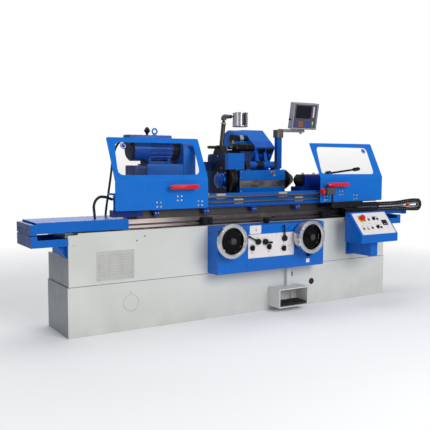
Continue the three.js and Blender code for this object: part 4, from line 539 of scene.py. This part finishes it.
blue_paint = enamel("blue_enamel")
light_paint = enamel("stone_enamel", STONE, 0.42, dirt=0.2, zones=bed_zones)
table_steel = metal("ground_table", rgb(108, 100, 98), 0.36, (0.06, 1, 1), table_zones, 0.35)
dark_table = metal("dark_table", rgb(84, 80, 78), 0.42, (0.06, 1, 1), grain=0.35)
hose = rubber("hose_rubber")
chain_black = plastic("chain_plastic", rgb(22, 22, 24), 0.5)
finishes = {
    "bed": light_paint,
    "left_trough": enamel("left_trough_enamel", zones=end_zones),
    "right_trough": blue_paint,
    "left_way_cover": enamel("left_cover_enamel", zones=end_zones),
    "right_way_cover": blue_paint,
    "apron_box": enamel("apron_enamel", zones=apron_zones),
    "pedal_housing": enamel("housing_enamel", STONE, 0.42, dirt=0.08),
    "console": enamel("console_enamel", zones=console_zones),
    "chain_lower_run": chain_black,
    "chain_upper_run": chain_black,
    "chain_loop": chain_black,
    "lower_table": table_steel,
    "swivel_table": dark_table,
    "left_dog": plastic("dog_black", rgb(26, 26, 28), 0.4),
    "right_dog": plastic("dog_black_right", rgb(26, 26, 28), 0.4),
    "guard_carrier": enamel("carrier_enamel", zones=carrier_zones),
    "upper_rod": metal("upper_rod_chrome", ROD, 0.15, zones=rod_zones(UPPER_ROD_Z), grain=0.05),
    "lower_rod": metal("lower_rod_chrome", ROD, 0.15, zones=rod_zones(LOWER_ROD_Z), grain=0.05),
    "stop_box": plastic("switch_box_grey", rgb(74, 76, 80), 0.45, stop_box_zones),
    "conduit_loop": hose,
    "conduit_straight": hose,
    "left_door": enamel("door_enamel", DOOR, zones=door_zones),
    "right_door": enamel("right_door_enamel", DOOR, zones=door_zones),
    "left_window": clear_sheet("clear_sheet"),
    "right_window": clear_sheet("right_clear_sheet"),
    "left_handle": red_gloss,
    "right_handle": red_gloss,
    "workhead_body": enamel("workhead_enamel", zones=workhead_zones),
    "workhead_motor": enamel("motor_enamel", rgb(8, 70, 158), zones=motor_zones),
    "workhead_spindle": steel,
    "tailstock_body": enamel("tailstock_enamel", rgb(10, 38, 122), zones=tailstock_zones),
    "tailstock_quill": plastic("quill_black", rgb(18, 18, 20), 0.3, quill_zones),
    "quill_lever": black_plastic,
    "wheelhead_body": enamel("wheelhead_enamel", zones=head_zones),
    "grinding_wheel": metal("wheel_flange", rgb(120, 120, 122), 0.4, zones=wheel_zones, grain=0.9),
    "wheel_guard": enamel("guard_enamel", zones=guard_zones),
    "belt_guard": enamel("belt_guard_enamel", rgb(10, 40, 120), zones=belt_zones),
    "wheel_motor": enamel("wheel_motor_enamel", rgb(8, 62, 150)),
    "internal_motor_box": enamel("box_enamel", zones=box_zones),
    "internal_bracket": enamel("bracket_enamel", rgb(4, 82, 178), zones=bracket_zones),
    "internal_spindle": plastic("spindle_black", INK, 0.2, spindle_zones),
    "lamp_post": enamel("post_enamel", rgb(58, 50, 40), zones=lamp_post_zones),
    "lamp_arm": metal("arm_grey", rgb(150, 148, 146), 0.35, zones=lamp_arm_zones),
    "lamp_head": metal("lamp_chrome", rgb(206, 198, 206), 0.3, zones=lamp_head_zones, grain=0.05),
    "readout_arm": metal("readout_arm_steel", rgb(190, 190, 188), 0.3, zones=readout_arm_zones),
    "readout_box": plastic("readout_case", rgb(158, 158, 164), 0.4, readout_zones, 0.2),
    "pedal": plastic("pedal_black", rgb(30, 30, 32), 0.6, pedal_zones),
    "table_handwheel": metal("handwheel_chrome", CHROME, 0.26, zones=handwheel_zones(TABLE_WHEEL), grain=0.05),
    "feed_handwheel": metal("feed_wheel_chrome", CHROME, 0.26, zones=handwheel_zones(FEED_WHEEL, 116), grain=0.05),
    "stop_button": red_gloss,
    "console_stop": red_gloss,
}


SMOOTH_ANGLE, DOOR_SMOOTH_ANGLE = 32, 22


def dress(name, material):
    """Gives a CAD node its material and smooth shading across facets that stand for a curve."""
    obj = nodes[name]
    obj.data.materials.clear()
    obj.data.materials.append(material)
    if obj.data.has_custom_normals:
        bpy.context.view_layer.objects.active = obj
        bpy.ops.mesh.customdata_custom_splitnormals_clear()
    obj.data.polygons.foreach_set("use_smooth", [True] * len(obj.data.polygons))
    weld = obj.modifiers.new("weld", "WELD")
    weld.merge_threshold = 0.00001
    split = obj.modifiers.new("split", "EDGE_SPLIT")
    split.split_angle = radians(DOOR_SMOOTH_ANGLE if name.endswith("_door") else SMOOTH_ANGLE)


for name in nodes:
    dress(name, finishes.get(name, black_plastic))


# ---- pieces ----

BASE = "machine_base"
# Lower and upper face of a plate, and of print on the panels and the console
PLATE = (-0.4, 1.0)
PRINT = (0.0, 0.35)
DESK_PRINT = (0.9, 1.3)


def around(u, v, radius, angle):
    """The point of a circle about u and v at this angle in radians."""
    return u + radius * cos(angle), v + radius * sin(angle)


def front(y):
    """A panel facing the operator at depth y: first X, then Z, then out of the panel."""
    return Matrix(((1, 0, 0, 0), (0, 0, -1, y), (0, 1, 0, 0), (0, 0, 0, 1)))


# For a section in Y and Z that runs along X
ALONG_X = Matrix(((0, 0, 1, 0), (1, 0, 0, 0), (0, 1, 0, 0), (0, 0, 0, 1)))


def facing(origin, out, up_hint=(0, 0, 1)):
    """A frame at origin whose third axis points out, and whose second axis is as near up_hint as it can be."""
    out = Vector(out).normalized()
    across = Vector(up_hint).cross(out).normalized()
    rise = out.cross(across)
    frame3 = Matrix((across, rise, out)).transposed().to_4x4()
    return Matrix.Translation(origin) @ frame3


class Form:
    """Collects closed shapes in millimetres and turns them into one piece."""

    def __init__(self):
        self.mesh = bmesh.new()

    def place(self, points, place):
        """Corners at the points, given in the frame place, or in the machine's own frame if it is None."""
        return [self.mesh.verts.new(place @ Vector(p) if place else Vector(p)) for p in points]

    def slab(self, x, y, z, place=None):
        corners = self.place([(a, b, c) for c in z for b in y for a in x], place)
        for face in ((0, 2, 3, 1), (4, 5, 7, 6), (0, 1, 5, 4), (2, 6, 7, 3), (0, 4, 6, 2), (1, 3, 7, 5)):
            self.mesh.faces.new([corners[i] for i in face])

    def lathe(self, profile, centre, place, sides):
        """A closed turned shape from (radius, height) pairs, bottom to top, with radius 0 only at its ends."""
        rings = []
        for radius, height in profile:
            if radius == 0:
                rings.append(self.place([(centre[0], centre[1], height)], place))
                continue
            angles = [2 * pi * k / sides for k in range(sides)]
            rings.append(self.place([(*around(*centre, radius, a), height) for a in angles], place))
        after = rings[1:] + rings[:1] if profile[0][0] else rings[1:]
        for below, above in zip(rings, after):
            for k in range(sides):
                n = (k + 1) % sides
                if len(below) == 1:
                    self.mesh.faces.new((below[0], above[n], above[k]))
                elif len(above) == 1:
                    self.mesh.faces.new((below[k], below[n], above[0]))
                else:
                    self.mesh.faces.new((below[k], below[n], above[n], above[k]))

    def sheet(self, outline, z, place):
        """A flat sheet cut to an outline, counter-clockwise, between two heights."""
        lower = self.place([(u, v, z[0]) for u, v in outline], place)
        upper = self.place([(u, v, z[1]) for u, v in outline], place)
        self.mesh.faces.new(lower[::-1])
        self.mesh.faces.new(upper)
        count = len(outline)
        for k in range(count):
            n = (k + 1) % count
            self.mesh.faces.new((lower[k], lower[n], upper[n], upper[k]))

    def pipe(self, points, radius, sides):
        """A round bar along a line of points, with flat ends; radius is one number or one for each point."""
        points = [Vector(p) for p in points]
        radii = radius if isinstance(radius, list) else [radius] * len(points)
        rings = []
        side = None
        for k, point in enumerate(points):
            ahead = points[min(k + 1, len(points) - 1)] - points[max(k - 1, 0)]
            ahead.normalize()
            if side is None:
                side = ahead.orthogonal().normalized()
            side = (side - ahead * side.dot(ahead)).normalized()
            other = ahead.cross(side)
            turns = [2 * pi * n / sides for n in range(sides)]
            spokes = [(side * cos(a) + other * sin(a)) * radii[k] for a in turns]
            rings.append([self.mesh.verts.new(point + spoke) for spoke in spokes])
        for below, above in zip(rings, rings[1:]):
            for k in range(sides):
                n = (k + 1) % sides
                self.mesh.faces.new((below[k], below[n], above[n], above[k]))
        self.mesh.faces.new(rings[0][::-1])
        self.mesh.faces.new(rings[-1])

    def piece(self, name, material, body, bevel, angle=35):
        """Makes the shapes so far one visible piece that rides on body. Edges sharper than angle stay sharp."""
        to_row = Matrix.Scale(0.001, 4) @ Matrix.Translation(-ORIGIN)
        bmesh.ops.transform(self.mesh, matrix=to_row, verts=self.mesh.verts)
        bmesh.ops.recalc_face_normals(self.mesh, faces=self.mesh.faces)
        mesh = bpy.data.meshes.new(name)
        self.mesh.to_mesh(mesh)
        self.mesh.free()
        mesh.materials.append(material)
        mesh.polygons.foreach_set("use_smooth", [True] * len(mesh.polygons))
        mesh.set_sharp_from_angle(angle=radians(angle))
        obj = add_object(name, mesh)
        if bevel:
            rim = obj.modifiers.new("rim", "BEVEL")
            rim.width = bevel / 1000
            rim.segments = 2
            rim.limit_method = "ANGLE"
            rim.angle_limit = radians(40)
        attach(obj, body)


def flat_piece(name, material, body, outline, z, place, bevel):
    form = Form()
    form.sheet(outline, z, place)
    form.piece(name, material, body, bevel)


def turned_piece(name, material, body, profile, place, sides, bevel, spots=((0, 0),)):
    """One piece of equal turned shapes, one at each spot."""
    form = Form()
    for spot in spots:
        form.lathe(profile, spot, place, sides)
    form.piece(name, material, body, bevel)


def rounded(x, y, radius, steps=4):
    """A rounded rectangle's outline, counter-clockwise."""
    points = []
    for k, (u, v) in enumerate(((x[1], y[0]), (x[1], y[1]), (x[0], y[1]), (x[0], y[0]))):
        cu = u - radius if u == x[1] else u + radius
        cv = v - radius if v == y[1] else v + radius
        for n in range(steps + 1):
            a = radians(-90 + 90 * k + 90 * n / steps)
            points.append(around(cu, cv, radius, a))
    return points


def cap_screw(form, u, v, place, radius, high, sides=16):
    """A button-head screw with a round socket, sunk a little into the face."""
    step = high * 0.45
    head = [(0, -0.6), (radius, -0.6), (radius, step), (radius * 0.7, high)]
    head += [(radius * 0.42, high), (radius * 0.36, step), (0, step)]
    form.lathe(head, (u, v), place, sides)


def oval(u, v, half_width, half_height):
    angles = [pi * k / 12 for k in range(24)]
    return [(u + half_width * cos(a), v + half_height * sin(a)) for a in angles]


def panel_screws(form, spots, place, radius=3.2, high=1.8):
    for u, v in spots:
        cap_screw(form, u, v, place, radius, high, 12)


white_plate = Look("white_plate", rgb(222, 216, 218), 0.34).finish(0.03, 6.0, 0.05, 500, gloss=0.05)
print_black = plastic("print_black", rgb(40, 38, 44), 0.5)
print_red = plastic("print_red", rgb(190, 40, 50), 0.5)
screw_steel = metal("screw_steel", rgb(205, 202, 200), 0.25)
yellow = plastic("stop_yellow", YELLOW, 0.38)
bare_plate = metal("bare_plate", rgb(196, 196, 192), 0.42, grain=0.2)
dark_glass = plastic("dark_screen", rgb(26, 26, 36), 0.12, grain=0.02)
inset_grey = plastic("inset_grey", rgb(84, 82, 94), 0.45)
key_white = plastic("key_white", rgb(216, 214, 220), 0.4)
knob_black = plastic("knurled_black", INK, 0.34)
disc_blue = plastic("disc_blue", rgb(44, 66, 160), 0.3)

# Screws of the doors' bearing blocks
for body, blocks in (
    ("left_guard_door", ((-835, LOWER_ROD_Z), (-666, UPPER_ROD_Z), (-492, LOWER_ROD_Z))),
    ("right_guard_door", ((740, LOWER_ROD_Z), (907, UPPER_ROD_Z), (1072, LOWER_ROD_Z))),
):
    form = Form()
    for x, z in blocks:
        for dx in (-16, 16):
            for dz in (-15, 15):
                cap_screw(form, x + dx, z + dz, front(-60), 7.5, 5)
    form.piece(body + "_screws", screw_steel, body, 0.4)

# Bolts of the guard carrier's tabs
turned_piece(
    "tab_bolts", screw_steel, "upper_table",
    [(0, -0.5), (5.5, -0.5), (5.5, 3.5), (4.5, 4.5), (0, 4.5)], front(0), 6, 0.4,
    [(x + dx, 836) for x in (-820, -402, 44, 485, 900) for dx in (-11, 11)]
)

# Bed: plates, screws, hole plugs and oil sight
flat_piece("spec_plate", bare_plate, BASE, rounded((-1290, -1005), (377, 586), 6), (-0.4, 0.7), front(0), 0.2)
form = Form()
for z in range(416, 557, 20):
    form.slab((-1272, -1022), (z, z + 0.8), (0.4, 0.9), front(0))
for x in (-1272, -1196, -1100, -1023):
    form.slab((x, x + 0.8), (416, 556), (0.4, 0.9), front(0))
form.piece("spec_plate_lines", plastic("line_grey", rgb(150, 150, 148), 0.5), BASE, 0)
form = Form()
panel_screws(form, [(x, z) for x in (-1282, -1013) for z in (385, 578)], front(0))
panel_screws(form, ((-1032, 274), (-1448, 640), (1448, 640)), front(0), 5, 2.5)
form.piece("bed_screws", screw_steel, BASE, 0.2)
turned_piece(
    "bed_hole_plugs", print_black, BASE,
    [(0, -0.6), (5, -0.6), (5, 0.8), (3, 1.2), (0, 1.2)], front(0), 14, 0.2, [(-981, 646), (-918, 675)]
)
turned_piece(
    "sight_ring", print_black, BASE,
    [(14, -2), (26, -2), (26, 3), (23, 6), (16, 6), (13.5, 3)], front(0), 24, 0.3, [(642, 195)]
)
turned_piece(
    "sight_glass", plastic("sight_red", rgb(96, 26, 34), 0.1), BASE,
    [(0, -3), (14, -3), (14, 1), (10, 2.5), (0, 3)], front(0), 20, 0.3, [(642, 195)]
)
flat_piece(
    "duct_label", plastic("label_grey", rgb(120, 122, 136), 0.4), BASE,
    rounded((417, 441), (256, 294), 3), (-0.4, 0.8), front(0), 0.2
)

# Apron: control plates with scales and screws, a label and a small knob
panel, plate_face = front(APRON_FRONT), front(APRON_FRONT - 1)
form = Form()
form.sheet(rounded((-118, 328), (466, 650), 5), PLATE, panel)
form.sheet(rounded((-104, 4), (653.5, 719), 4), PLATE, panel)
form.piece("control_plates", white_plate, BASE, 0.3)
form = Form()
panel_screws(form, [(x, z) for x in (-110, 105, 320) for z in (474, 642)], plate_face, 3, 1.4)
panel_screws(form, [(x, z) for x in (-98, -2) for z in (659, 713)], plate_face, 3, 1.4)
panel_screws(form, [(x, z) for x in (-375, 622) for z in (376, 700)], panel, 4.5, 2.4)
form.piece("apron_screws", screw_steel, BASE, 0.2)


def arc(form, centre, radius, start, end, width, place, steps):
    """A printed arc, as a thin raised line."""
    inner, outer = radius - width / 2, radius + width / 2
    angles = [radians(start + (end - start) * k / steps) for k in range(steps + 1)]
    points = [around(*centre, outer, a) for a in angles] + [around(*centre, inner, a) for a in reversed(angles)]
    form.sheet(points, PRINT, place)


form = Form()
for x, z in ((-80, 547), (79, 547), (224, 525)):
    arc(form, (x, z), 27, -30, 210, 1.4, plate_face, 16)
    for k in range(9):
        a = radians(-30 + 30 * k)
        spot = Matrix.Translation((x, 0, z)) @ Matrix.Rotation(-a, 4, "Y") @ plate_face
        form.slab((29, 34), (-0.6, 0.6), PRINT, spot)
for x, z in ((-29, 593), (39, 588), (227, 605)):
    arc(form, (x, z), 30, 20, 160, 1.2, plate_face, 12)
for x, z in (
    ((-96, -64), (505, 507.5)), ((66, 92), (505, 507.5)), ((262, 290), (541, 543)), ((262, 290), (511, 513)),
    ((-46, -44), (669, 680)), ((-56, -34), (680, 682)), ((-45, -43), (682, 702)),
):
    form.slab(x, z, PRINT, plate_face)
form.piece("panel_print", print_black, BASE, 0)
turned_piece(
    "panel_pips", print_red, BASE,
    [(0, -0.4), (3.2, -0.4), (3.2, 1.5), (2, 2.4), (0, 2.4)],
    front(APRON_FRONT - 0.6), 12, 0.2, [(-110, 458), (150, 640)]
)
flat_piece("apron_label", key_white, BASE, rounded((455, 491), (390, 422), 5), (-0.4, 2.2), panel, 0.3)
turned_piece(
    "apron_knob", knob_black, BASE,
    [(0, -1), (5, -1), (5, 9), (8.5, 11), (8.5, 22), (6.5, 24), (0, 24)], panel, 14, 0.3, [(-370, 694)]
)

# Console: plate, collar, caps, marks and display on the sloping face
slope = atan2(DESK[0][1] - DESK[1][1], DESK[0][0] - DESK[1][0])
desk = Matrix.Translation((877, *DESK[0])) @ Matrix.Rotation(slope, 4, "X")
flat_piece("console_plate", white_plate, BASE, rounded((20, 405), (-230, -10), 5), PLATE, desk, 0.3)
turned_piece(
    "stop_collar", yellow, BASE,
    [(26, -0.4), (31, -0.4), (31, 4.4), (29, 5.4), (26, 5.4)], desk, 32, 0.3, [(91, -71)]
)
caps = (
    ("cap_black", print_black, [(123, -84), (275, -79), (268, -166)]),
    ("cap_green", plastic("cap_green", rgb(70, 110, 84), 0.4), [(66, -170), (174, -80)]),
    ("cap_red", plastic("cap_red", rgb(140, 66, 70), 0.4), [(167, -166)]),
    ("cap_white", key_white, [(117, -170)]),
)
for name, material, spots in caps:
    turned_piece(name, material, BASE, [(0, 5.4), (7.2, 5.4), (7.2, 7.6), (6.2, 9.0), (0, 9.4)], desk, 18, 0.2, spots)
buttons = [spot for _, _, spots in caps for spot in spots]
selectors = [(234, -74), (230, -161)]
form = Form()
for spot in buttons:
    form.lathe([(9.5, 0.6), (12.5, 0.6), (12.5, 2.6), (11.5, 3.6), (9.5, 3.6)], spot, desk, 20)
for spot in selectors:
    form.lathe([(13.5, 0.6), (17, 0.6), (17, 2.4), (16, 3.2), (13.5, 3.2)], spot, desk, 24)
form.piece("console_rings", knob_black, BASE, 0.2)
form = Form()
for u, v in buttons + selectors:
    form.slab((u - 11, u + 11), (v + 24, v + 26.2), DESK_PRINT, desk)
for u in (150, 210, 300):
    form.slab((u, u + 16), (-122, -120), DESK_PRINT, desk)
form.piece("console_print", print_black, BASE, 0)
turned_piece(
    "console_pips", print_red, BASE,
    [(0, 0.6), (3, 0.6), (3, 2.2), (2, 3), (0, 3)], desk, 12, 0.2, [(60, -142), (160, -122), (57, -46)]
)
flat_piece(
    "display_frame", plastic("display_frame", rgb(34, 32, 38), 0.4), BASE,
    rounded((307, 365), (-146, -94), 4), (0.6, 5.0), desk, 0.6
)
flat_piece("display_glass", dark_glass, BASE, rounded((313, 359), (-126, -99), 2), (4.6, 5.6), desk, 0.2)
turned_piece(
    "display_keys", key_white, BASE,
    [(0, 4.6), (3, 4.6), (3, 6), (0, 6.4)], desk, 10, 0.2, [(u, -136) for u in (320, 330, 341, 352)]
)
form = Form()
plate_top = desk @ Matrix.Translation((0, 0, 1))
panel_screws(form, [(u, v) for u in (27, 212, 398) for v in (-223, -17)], plate_top, 3, 1.4)
form.piece("console_screws", screw_steel, BASE, 0.2)

# Face knobs of the internal bracket: knurled caps with a flat mark
chin_top = Vector((0, *CHIN[0]))
run = Vector((0, *CHIN[1])) - chin_top
out = Vector((0, run.z, -run.y)).normalized()
form = Form()
for x, share, radius in ((400, 0.12, 29), (490, 0.12, 29), (392, 0.58, 18), (494, 0.58, 18)):
    spot = facing(chin_top + run * share + Vector((x, 0, 0)) + out * 24, out)
    notches = 20
    outline = []
    for k in range(notches * 2):
        a = pi * k / notches
        r = radius + (1.8 if k % 2 else 0.4)
        outline.append(around(0, 0, r, a))
    form.sheet(outline, (-18, 1.5), spot)
    form.lathe([(0, 1.2), (radius * 0.86, 1.2), (radius * 0.8, 3.0), (radius * 0.3, 3.6), (0, 3.6)], (0, 0), spot, 20)
form.piece("bracket_knob_caps", knob_black, "bracket", 0.3)

# Wheelhead: the guard's and the head's screws, and a bare oval plate on each
side = facing((4, *WHEEL_AXIS), (-1, 0, 0))
form = Form()
for k in range(4):
    cap_screw(form, *around(0, 0, 86, radians(45 + 90 * k)), side, 6, 4)
panel_screws(form, ((-60, 205), (-190, 205), (-190, -150)), side, 6, 3.5)
form.piece("guard_screws", screw_steel, "wheelhead", 0.3)
guard_red = plastic("plate_red", rgb(122, 34, 46), 0.4)
flat_piece("guard_plate", guard_red, "wheelhead", oval(0, 104, 26, 9), PLATE, side, 0.2)
flat_piece("head_plate", bare_plate, "wheelhead", oval(500, 1088, 17, 9), PLATE, front(HEAD_FRONT), 0.2)
form = Form()
panel_screws(form, ((150, 1070), (150, 1120), (610, 1120), (150, 960), (610, 960)), front(HEAD_FRONT), 5, 3)
form.piece("head_screws", screw_steel, "wheelhead", 0.3)

# Internal spindle: brass oil fitting and red oil cap
turned_piece(
    "oil_fitting", metal("brass", rgb(186, 150, 84), 0.3), "bracket",
    [(0, 0), (9, 0), (9, 8), (6, 10), (6, 18), (8, 20), (8, 27), (0, 29)],
    facing((126, 440, 1357), (0, 0, 1), (0, 1, 0)), 6, 0.4
)
turned_piece(
    "oil_cap", print_red, "bracket",
    [(0, 0), (6, 0), (6, 9), (0, 11)], facing((144, 440, 1358), (0, 0, 1), (0, 1, 0)), 12, 0.4
)

# Readout: front sheet, screen, bars and keys, on the box that leans forward about the bar
tilt = radians(10)
shown = Matrix.Translation((885, 452, 1483)) @ Matrix.Rotation(tilt, 4, "X") @ front(-26)
flat_piece("readout_front", inset_grey, "readout", rounded((-128, 128), (32, 242), 5), (-0.6, 0.9), shown, 0.4)
flat_piece("readout_screen", dark_glass, "readout", rounded((-112, 62), (118, 232), 3), (0.6, 1.8), shown, 0.3)
form = Form()
form.slab((82, 100), (128, 226), (0.6, 2.4), shown)
form.slab((84, 98), (64, 92), (0.6, 2.4), shown)
form.piece("readout_bars", key_white, "readout", 0.4)
rows = (44, 62, 80)
blue_keys = [(-112, -86, z) for z in rows] + [(x, x + 16, z) for x in (6, 24, 42) for z in rows]
orange_keys = [(x, x + 16, z) for x in (-72, -54, -36) for z in rows]
for name, material, keys in (
    ("keys_blue", plastic("key_blue", rgb(52, 84, 178), 0.4), blue_keys),
    ("keys_orange", plastic("key_orange", rgb(178, 102, 70), 0.4), orange_keys),
    ("keys_green", plastic("key_green", rgb(64, 158, 70), 0.4), [(80, 104, 42)]),
):
    form = Form()
    for x0, x1, z in keys:
        form.slab((x0, x1), (z, z + 14), (0.6, 2.8), shown)
    form.piece(name, material, "readout", 0.5)

# Wheel guard: the domed cap of the wheel's hub
turned_piece(
    "hub_dome", enamel("dome_enamel", rgb(4, 72, 158), 0.26), "wheelhead",
    [(0, 0), (62, 0), (62, 4), (58, 8), (52, 16), (43, 23), (32, 28), (18, 31), (0, 32)],
    facing((-20, *WHEEL_AXIS), (-1, 0, 0)), 48, 0
)

# Lamp: bent sleeve over the elbow, and the collar on the post
sleeve = (
    (92, 535, 1558.4, 19), (92, 535, 1568, 23.4), (92.6, 534.2, 1579, 24.2), (96.5, 529, 1589, 22.6),
    (104, 519, 1592.5, 19), (113, 507, 1592, 16.5), (129, 485.8, 1590.5, 15.6),
)
form = Form()
form.pipe([station[:3] for station in sleeve], [station[3] for station in sleeve], 20)
form.piece("lamp_sleeve", metal("sleeve_grey", rgb(104, 102, 102), 0.42, grain=0.1), "lamp_elbow_arm", 0, 60)
turned_piece(
    "post_collar", steel, "wheelhead",
    [(19.4, 0), (22.4, 0), (22.4, 5), (19.4, 5)],
    facing((90.6, 534.5, 1528), (0.136, 0.047, 0.99), (0, 1, 0)), 28, 0.6
)

# Black saddle under the parked spindle, its black being painted shade, and the cable duct at the guard's back
flat_piece(
    "spindle_saddle", knob_black, "wheelhead",
    [(486, 1275.4), (566, 1275.4), (566, 1284), (548, 1302), (500, 1306), (486, 1300)], (40, 236), ALONG_X, 1.5
)
form = Form()
form.slab((-50, -16), (596, 646), (1126, 1196))
form.slab((-53, -18), (592, 650), (1196, 1204))
form.piece("guard_duct", enamel("duct_navy", NAVY, 0.4), "wheelhead", 1.5)

# Lamp: louvres and glass
form = Form()
for z in (1530, 1548, 1566, 1584):
    form.pipe([(*around(*LAMP_AXIS, 66.5, radians(-75 + 6 * k)), z) for k in range(9)], 1.4, 6)
form.piece("lamp_louvres", print_black, "lamp", 0)
turned_piece(
    "lamp_glass", key_white, "lamp",
    [(0, -1.5), (56, -1.5), (58, 0.5), (58, 2), (0, 2)], facing((*LAMP_AXIS, 1503), (0, 0, -1), (0, 1, 0)), 28, 0.3
)

# Drag chain: a plate and a pin for each link of the bend, and the cables that run inside it
STRAND_RISE, BEND_RADIUS = 23, 41
FIRST_LINK, LINK_PITCH = 14, 27


def chain_line(offset, bend=None):
    """The bend's line in X and Z from the upper strand round to the lower one; offset and bend set it inwards."""
    end, start, centre, middle = 1350, 1515, 1846, 812
    rise = STRAND_RISE - offset
    radius = BEND_RADIUS - (offset if bend is None else bend)
    ease = (centre - start) / 2
    points = []
    steps = 14
    for k in range(steps + 1):
        t = k / steps
        x = (1 - t) ** 3 * start + 3 * (1 - t) ** 2 * t * (start + ease) + 3 * (1 - t) * t * t * (centre - ease)
        points.append((x + t ** 3 * centre, rise * (1 - t) ** 2 * (1 + 2 * t) + radius * t * t * (3 - 2 * t)))
    angles = [pi * k / 12 for k in range(1, 12)]
    line = [(end, middle + rise)] + [(x, middle + z) for x, z in points]
    line += [(centre + radius * sin(a), middle + radius * cos(a)) for a in angles]
    return line + [(x, middle - z) for x, z in reversed(points)] + [(end, middle - rise)]


line = [Vector((x, 0, z)) for x, z in chain_line(0)]
places = []
travelled, wanted = 0.0, FIRST_LINK
for a, b in zip(line, line[1:]):
    step = (b - a).length
    while wanted <= travelled + step:
        places.append((a.lerp(b, (wanted - travelled) / step), (b - a).normalized()))
        wanted += LINK_PITCH
    travelled += step
form = Form()
pins = Form()
for spot, ahead in places:
    link = facing(spot + Vector((0, -75, 0)), (0, -1, 0), (-ahead.z, 0, ahead.x))
    form.sheet(rounded((-12.4, 12.4), (-12.5, 12.5), 6, 3), (-0.5, 2.2), link)
    pins.lathe([(0, 2), (3.6, 2), (3.6, 2.9), (2.6, 3.6), (0, 3.6)], (0, 0), link, 10)
form.piece("chain_links", chain_black, "chain_bend", 0.5)
pins.piece("chain_pins", screw_steel, "chain_bend", 0.2)
for name, material, cables in (
    ("cable_white", rubber("cable_white", rgb(186, 184, 196), 0.45), ((-68, 20.5, 2.6),)),
    ("cable_blue", rubber("cable_blue", rgb(60, 84, 170), 0.45), ((-52, 20.5, 2.6),)),
    ("cables_black", hose, ((-60, 20.5, 3.4), (-64, 28, 4.5), (-55, 29, 4.5))),
):
    form = Form()
    for y, inset, radius in cables:
        form.pipe([(x, y, z) for x, z in chain_line(min(inset, 20.5), inset)], radius, 8)
    form.piece(name, material, "chain_bend", 0)
flat_piece(
    "cable_clamp", plastic("clamp_orange", ORANGE, 0.4), "chain_bend",
    rounded((1722, 1750), (797, 829), 4), (0, 26), front(-48), 0.8
)

# The upper strand's channel, carried on along the table's front
form = Form()
tube = [
    (-41.5, 816.2), (-41.5, 834), (-44.5, 834), (-44.5, 819.2), (-75.5, 819.2), (-75.5, 850.8), (-44.5, 850.8),
    (-44.5, 836), (-41.5, 836), (-41.5, 863.4), (-78.7, 863.4), (-78.7, 816.2),
]
for x in range(804, 1139, 49):
    form.sheet(tube, (x, x + 46), ALONG_X)
    form.sheet([(-77.6, 817), (-76, 817), (-76, 862.8), (-77.6, 862.8)], (x + 45, x + 49.5), ALONG_X)
form.piece("chain_channel", chain_black, "sliding_table", 0.5)

# Steel clamp on the upper rod, beside the left door, with its screw
form = Form()
around_rod = facing((-434, ROD_Y, UPPER_ROD_Z), (1, 0, 0))
form.lathe([(9.4, 0), (15, 0), (15, 36), (9.4, 36)], (0, 0), around_rod, 24)
form.slab((-434, -398), (-45, -31), (954, 974))
form.piece("rod_clamp", metal("clamp_steel", rgb(104, 102, 106), 0.4), "upper_table", 0.8)
turned_piece(
    "rod_clamp_screw", screw_steel, "upper_table",
    [(0, 0), (6, 0), (6, 6), (5, 7), (3, 7), (3, 4), (0, 4)], facing((-416, -45, 964), (0, -1, 0)), 12, 0.3
)

# Closing plate on the left trough's end box, inside the way cover's passage, in painted shade
form = Form()
form.slab((-1743, -1737), (64, 300), (717.4, 757))
form.piece("trough_plate", enamel("plate_painted_shade", SHADED_BLUE, 0.4), BASE, 0.8)

# Workhead: rail under the motor's feet, a web under the motor in painted shade, and a plain plate
form = Form()
form.slab((-776, -634), (196, 268), (1190.5, 1209))
form.piece("motor_rail", blue_paint, "workhead", 1.0)
form = Form()
form.slab((-838, -470), (228, 240), (1160, 1244))
form.piece("motor_web", enamel("web_dark", rgb(12, 16, 30), 0.5), "workhead", 1.0)
flat_piece(
    "workhead_plate", bare_plate, "workhead",
    rounded((-905, -868), (916, 1000), 3), (-0.4, 0.9), front(110), 0.2
)

# Round plain discs on the windows
for name, node, x, z, body in (
    ("left_disc", "left_window", -1052, 1320, "left_guard_door"),
    ("right_disc", "right_window", 1277, 1301, "right_guard_door"),
):
    start = (Vector((x, -400, z)) - ORIGIN) / 1000
    _, spot, normal, _ = nodes[node].ray_cast(start, Vector((0, 1, 0)))
    base = spot * 1000 + ORIGIN
    place = facing(base, normal if normal.y < 0 else -normal)
    turned_piece(name, disc_blue, body, [(0, -0.2), (24, -0.2), (24, 0.5), (0, 0.7)], place, 36, 0)
    turned_piece(name + "_ring", key_white, body, [(15, 0.4), (19, 0.4), (19, 0.9), (15, 0.9)], place, 36, 0)


# ---- floor ----

floor_mesh = bpy.data.meshes.new("floor")
floor_mesh.from_pydata([(-30, -30, 0), (30, -30, 0), (30, 30, 0), (-30, 30, 0)], [], [(0, 1, 2, 3)])
floor = add_object("floor", floor_mesh)
floor_look = Look("pale_floor", rgb(246, 246, 246), 0.9)
away = floor_look.add("VectorMath", {0: floor_look.coordinates}, operation="LENGTH").outputs["Value"]
fade = floor_look.spread(away, 0.0, 1.0, 2.2, 4.5)
floor_look.feed(floor_look.shader, {"Base Color": floor_look.colour, "Roughness": floor_look.rough})
clear = floor_look.add("BsdfTransparent").outputs[0]
fading = floor_look.add("MixShader", {"Fac": fade, 1: floor_look.shader.outputs[0], 2: clear})
floor_look.feed(floor_look.out, {"Surface": fading.outputs[0]})
floor_mesh.materials.append(floor_look.material)
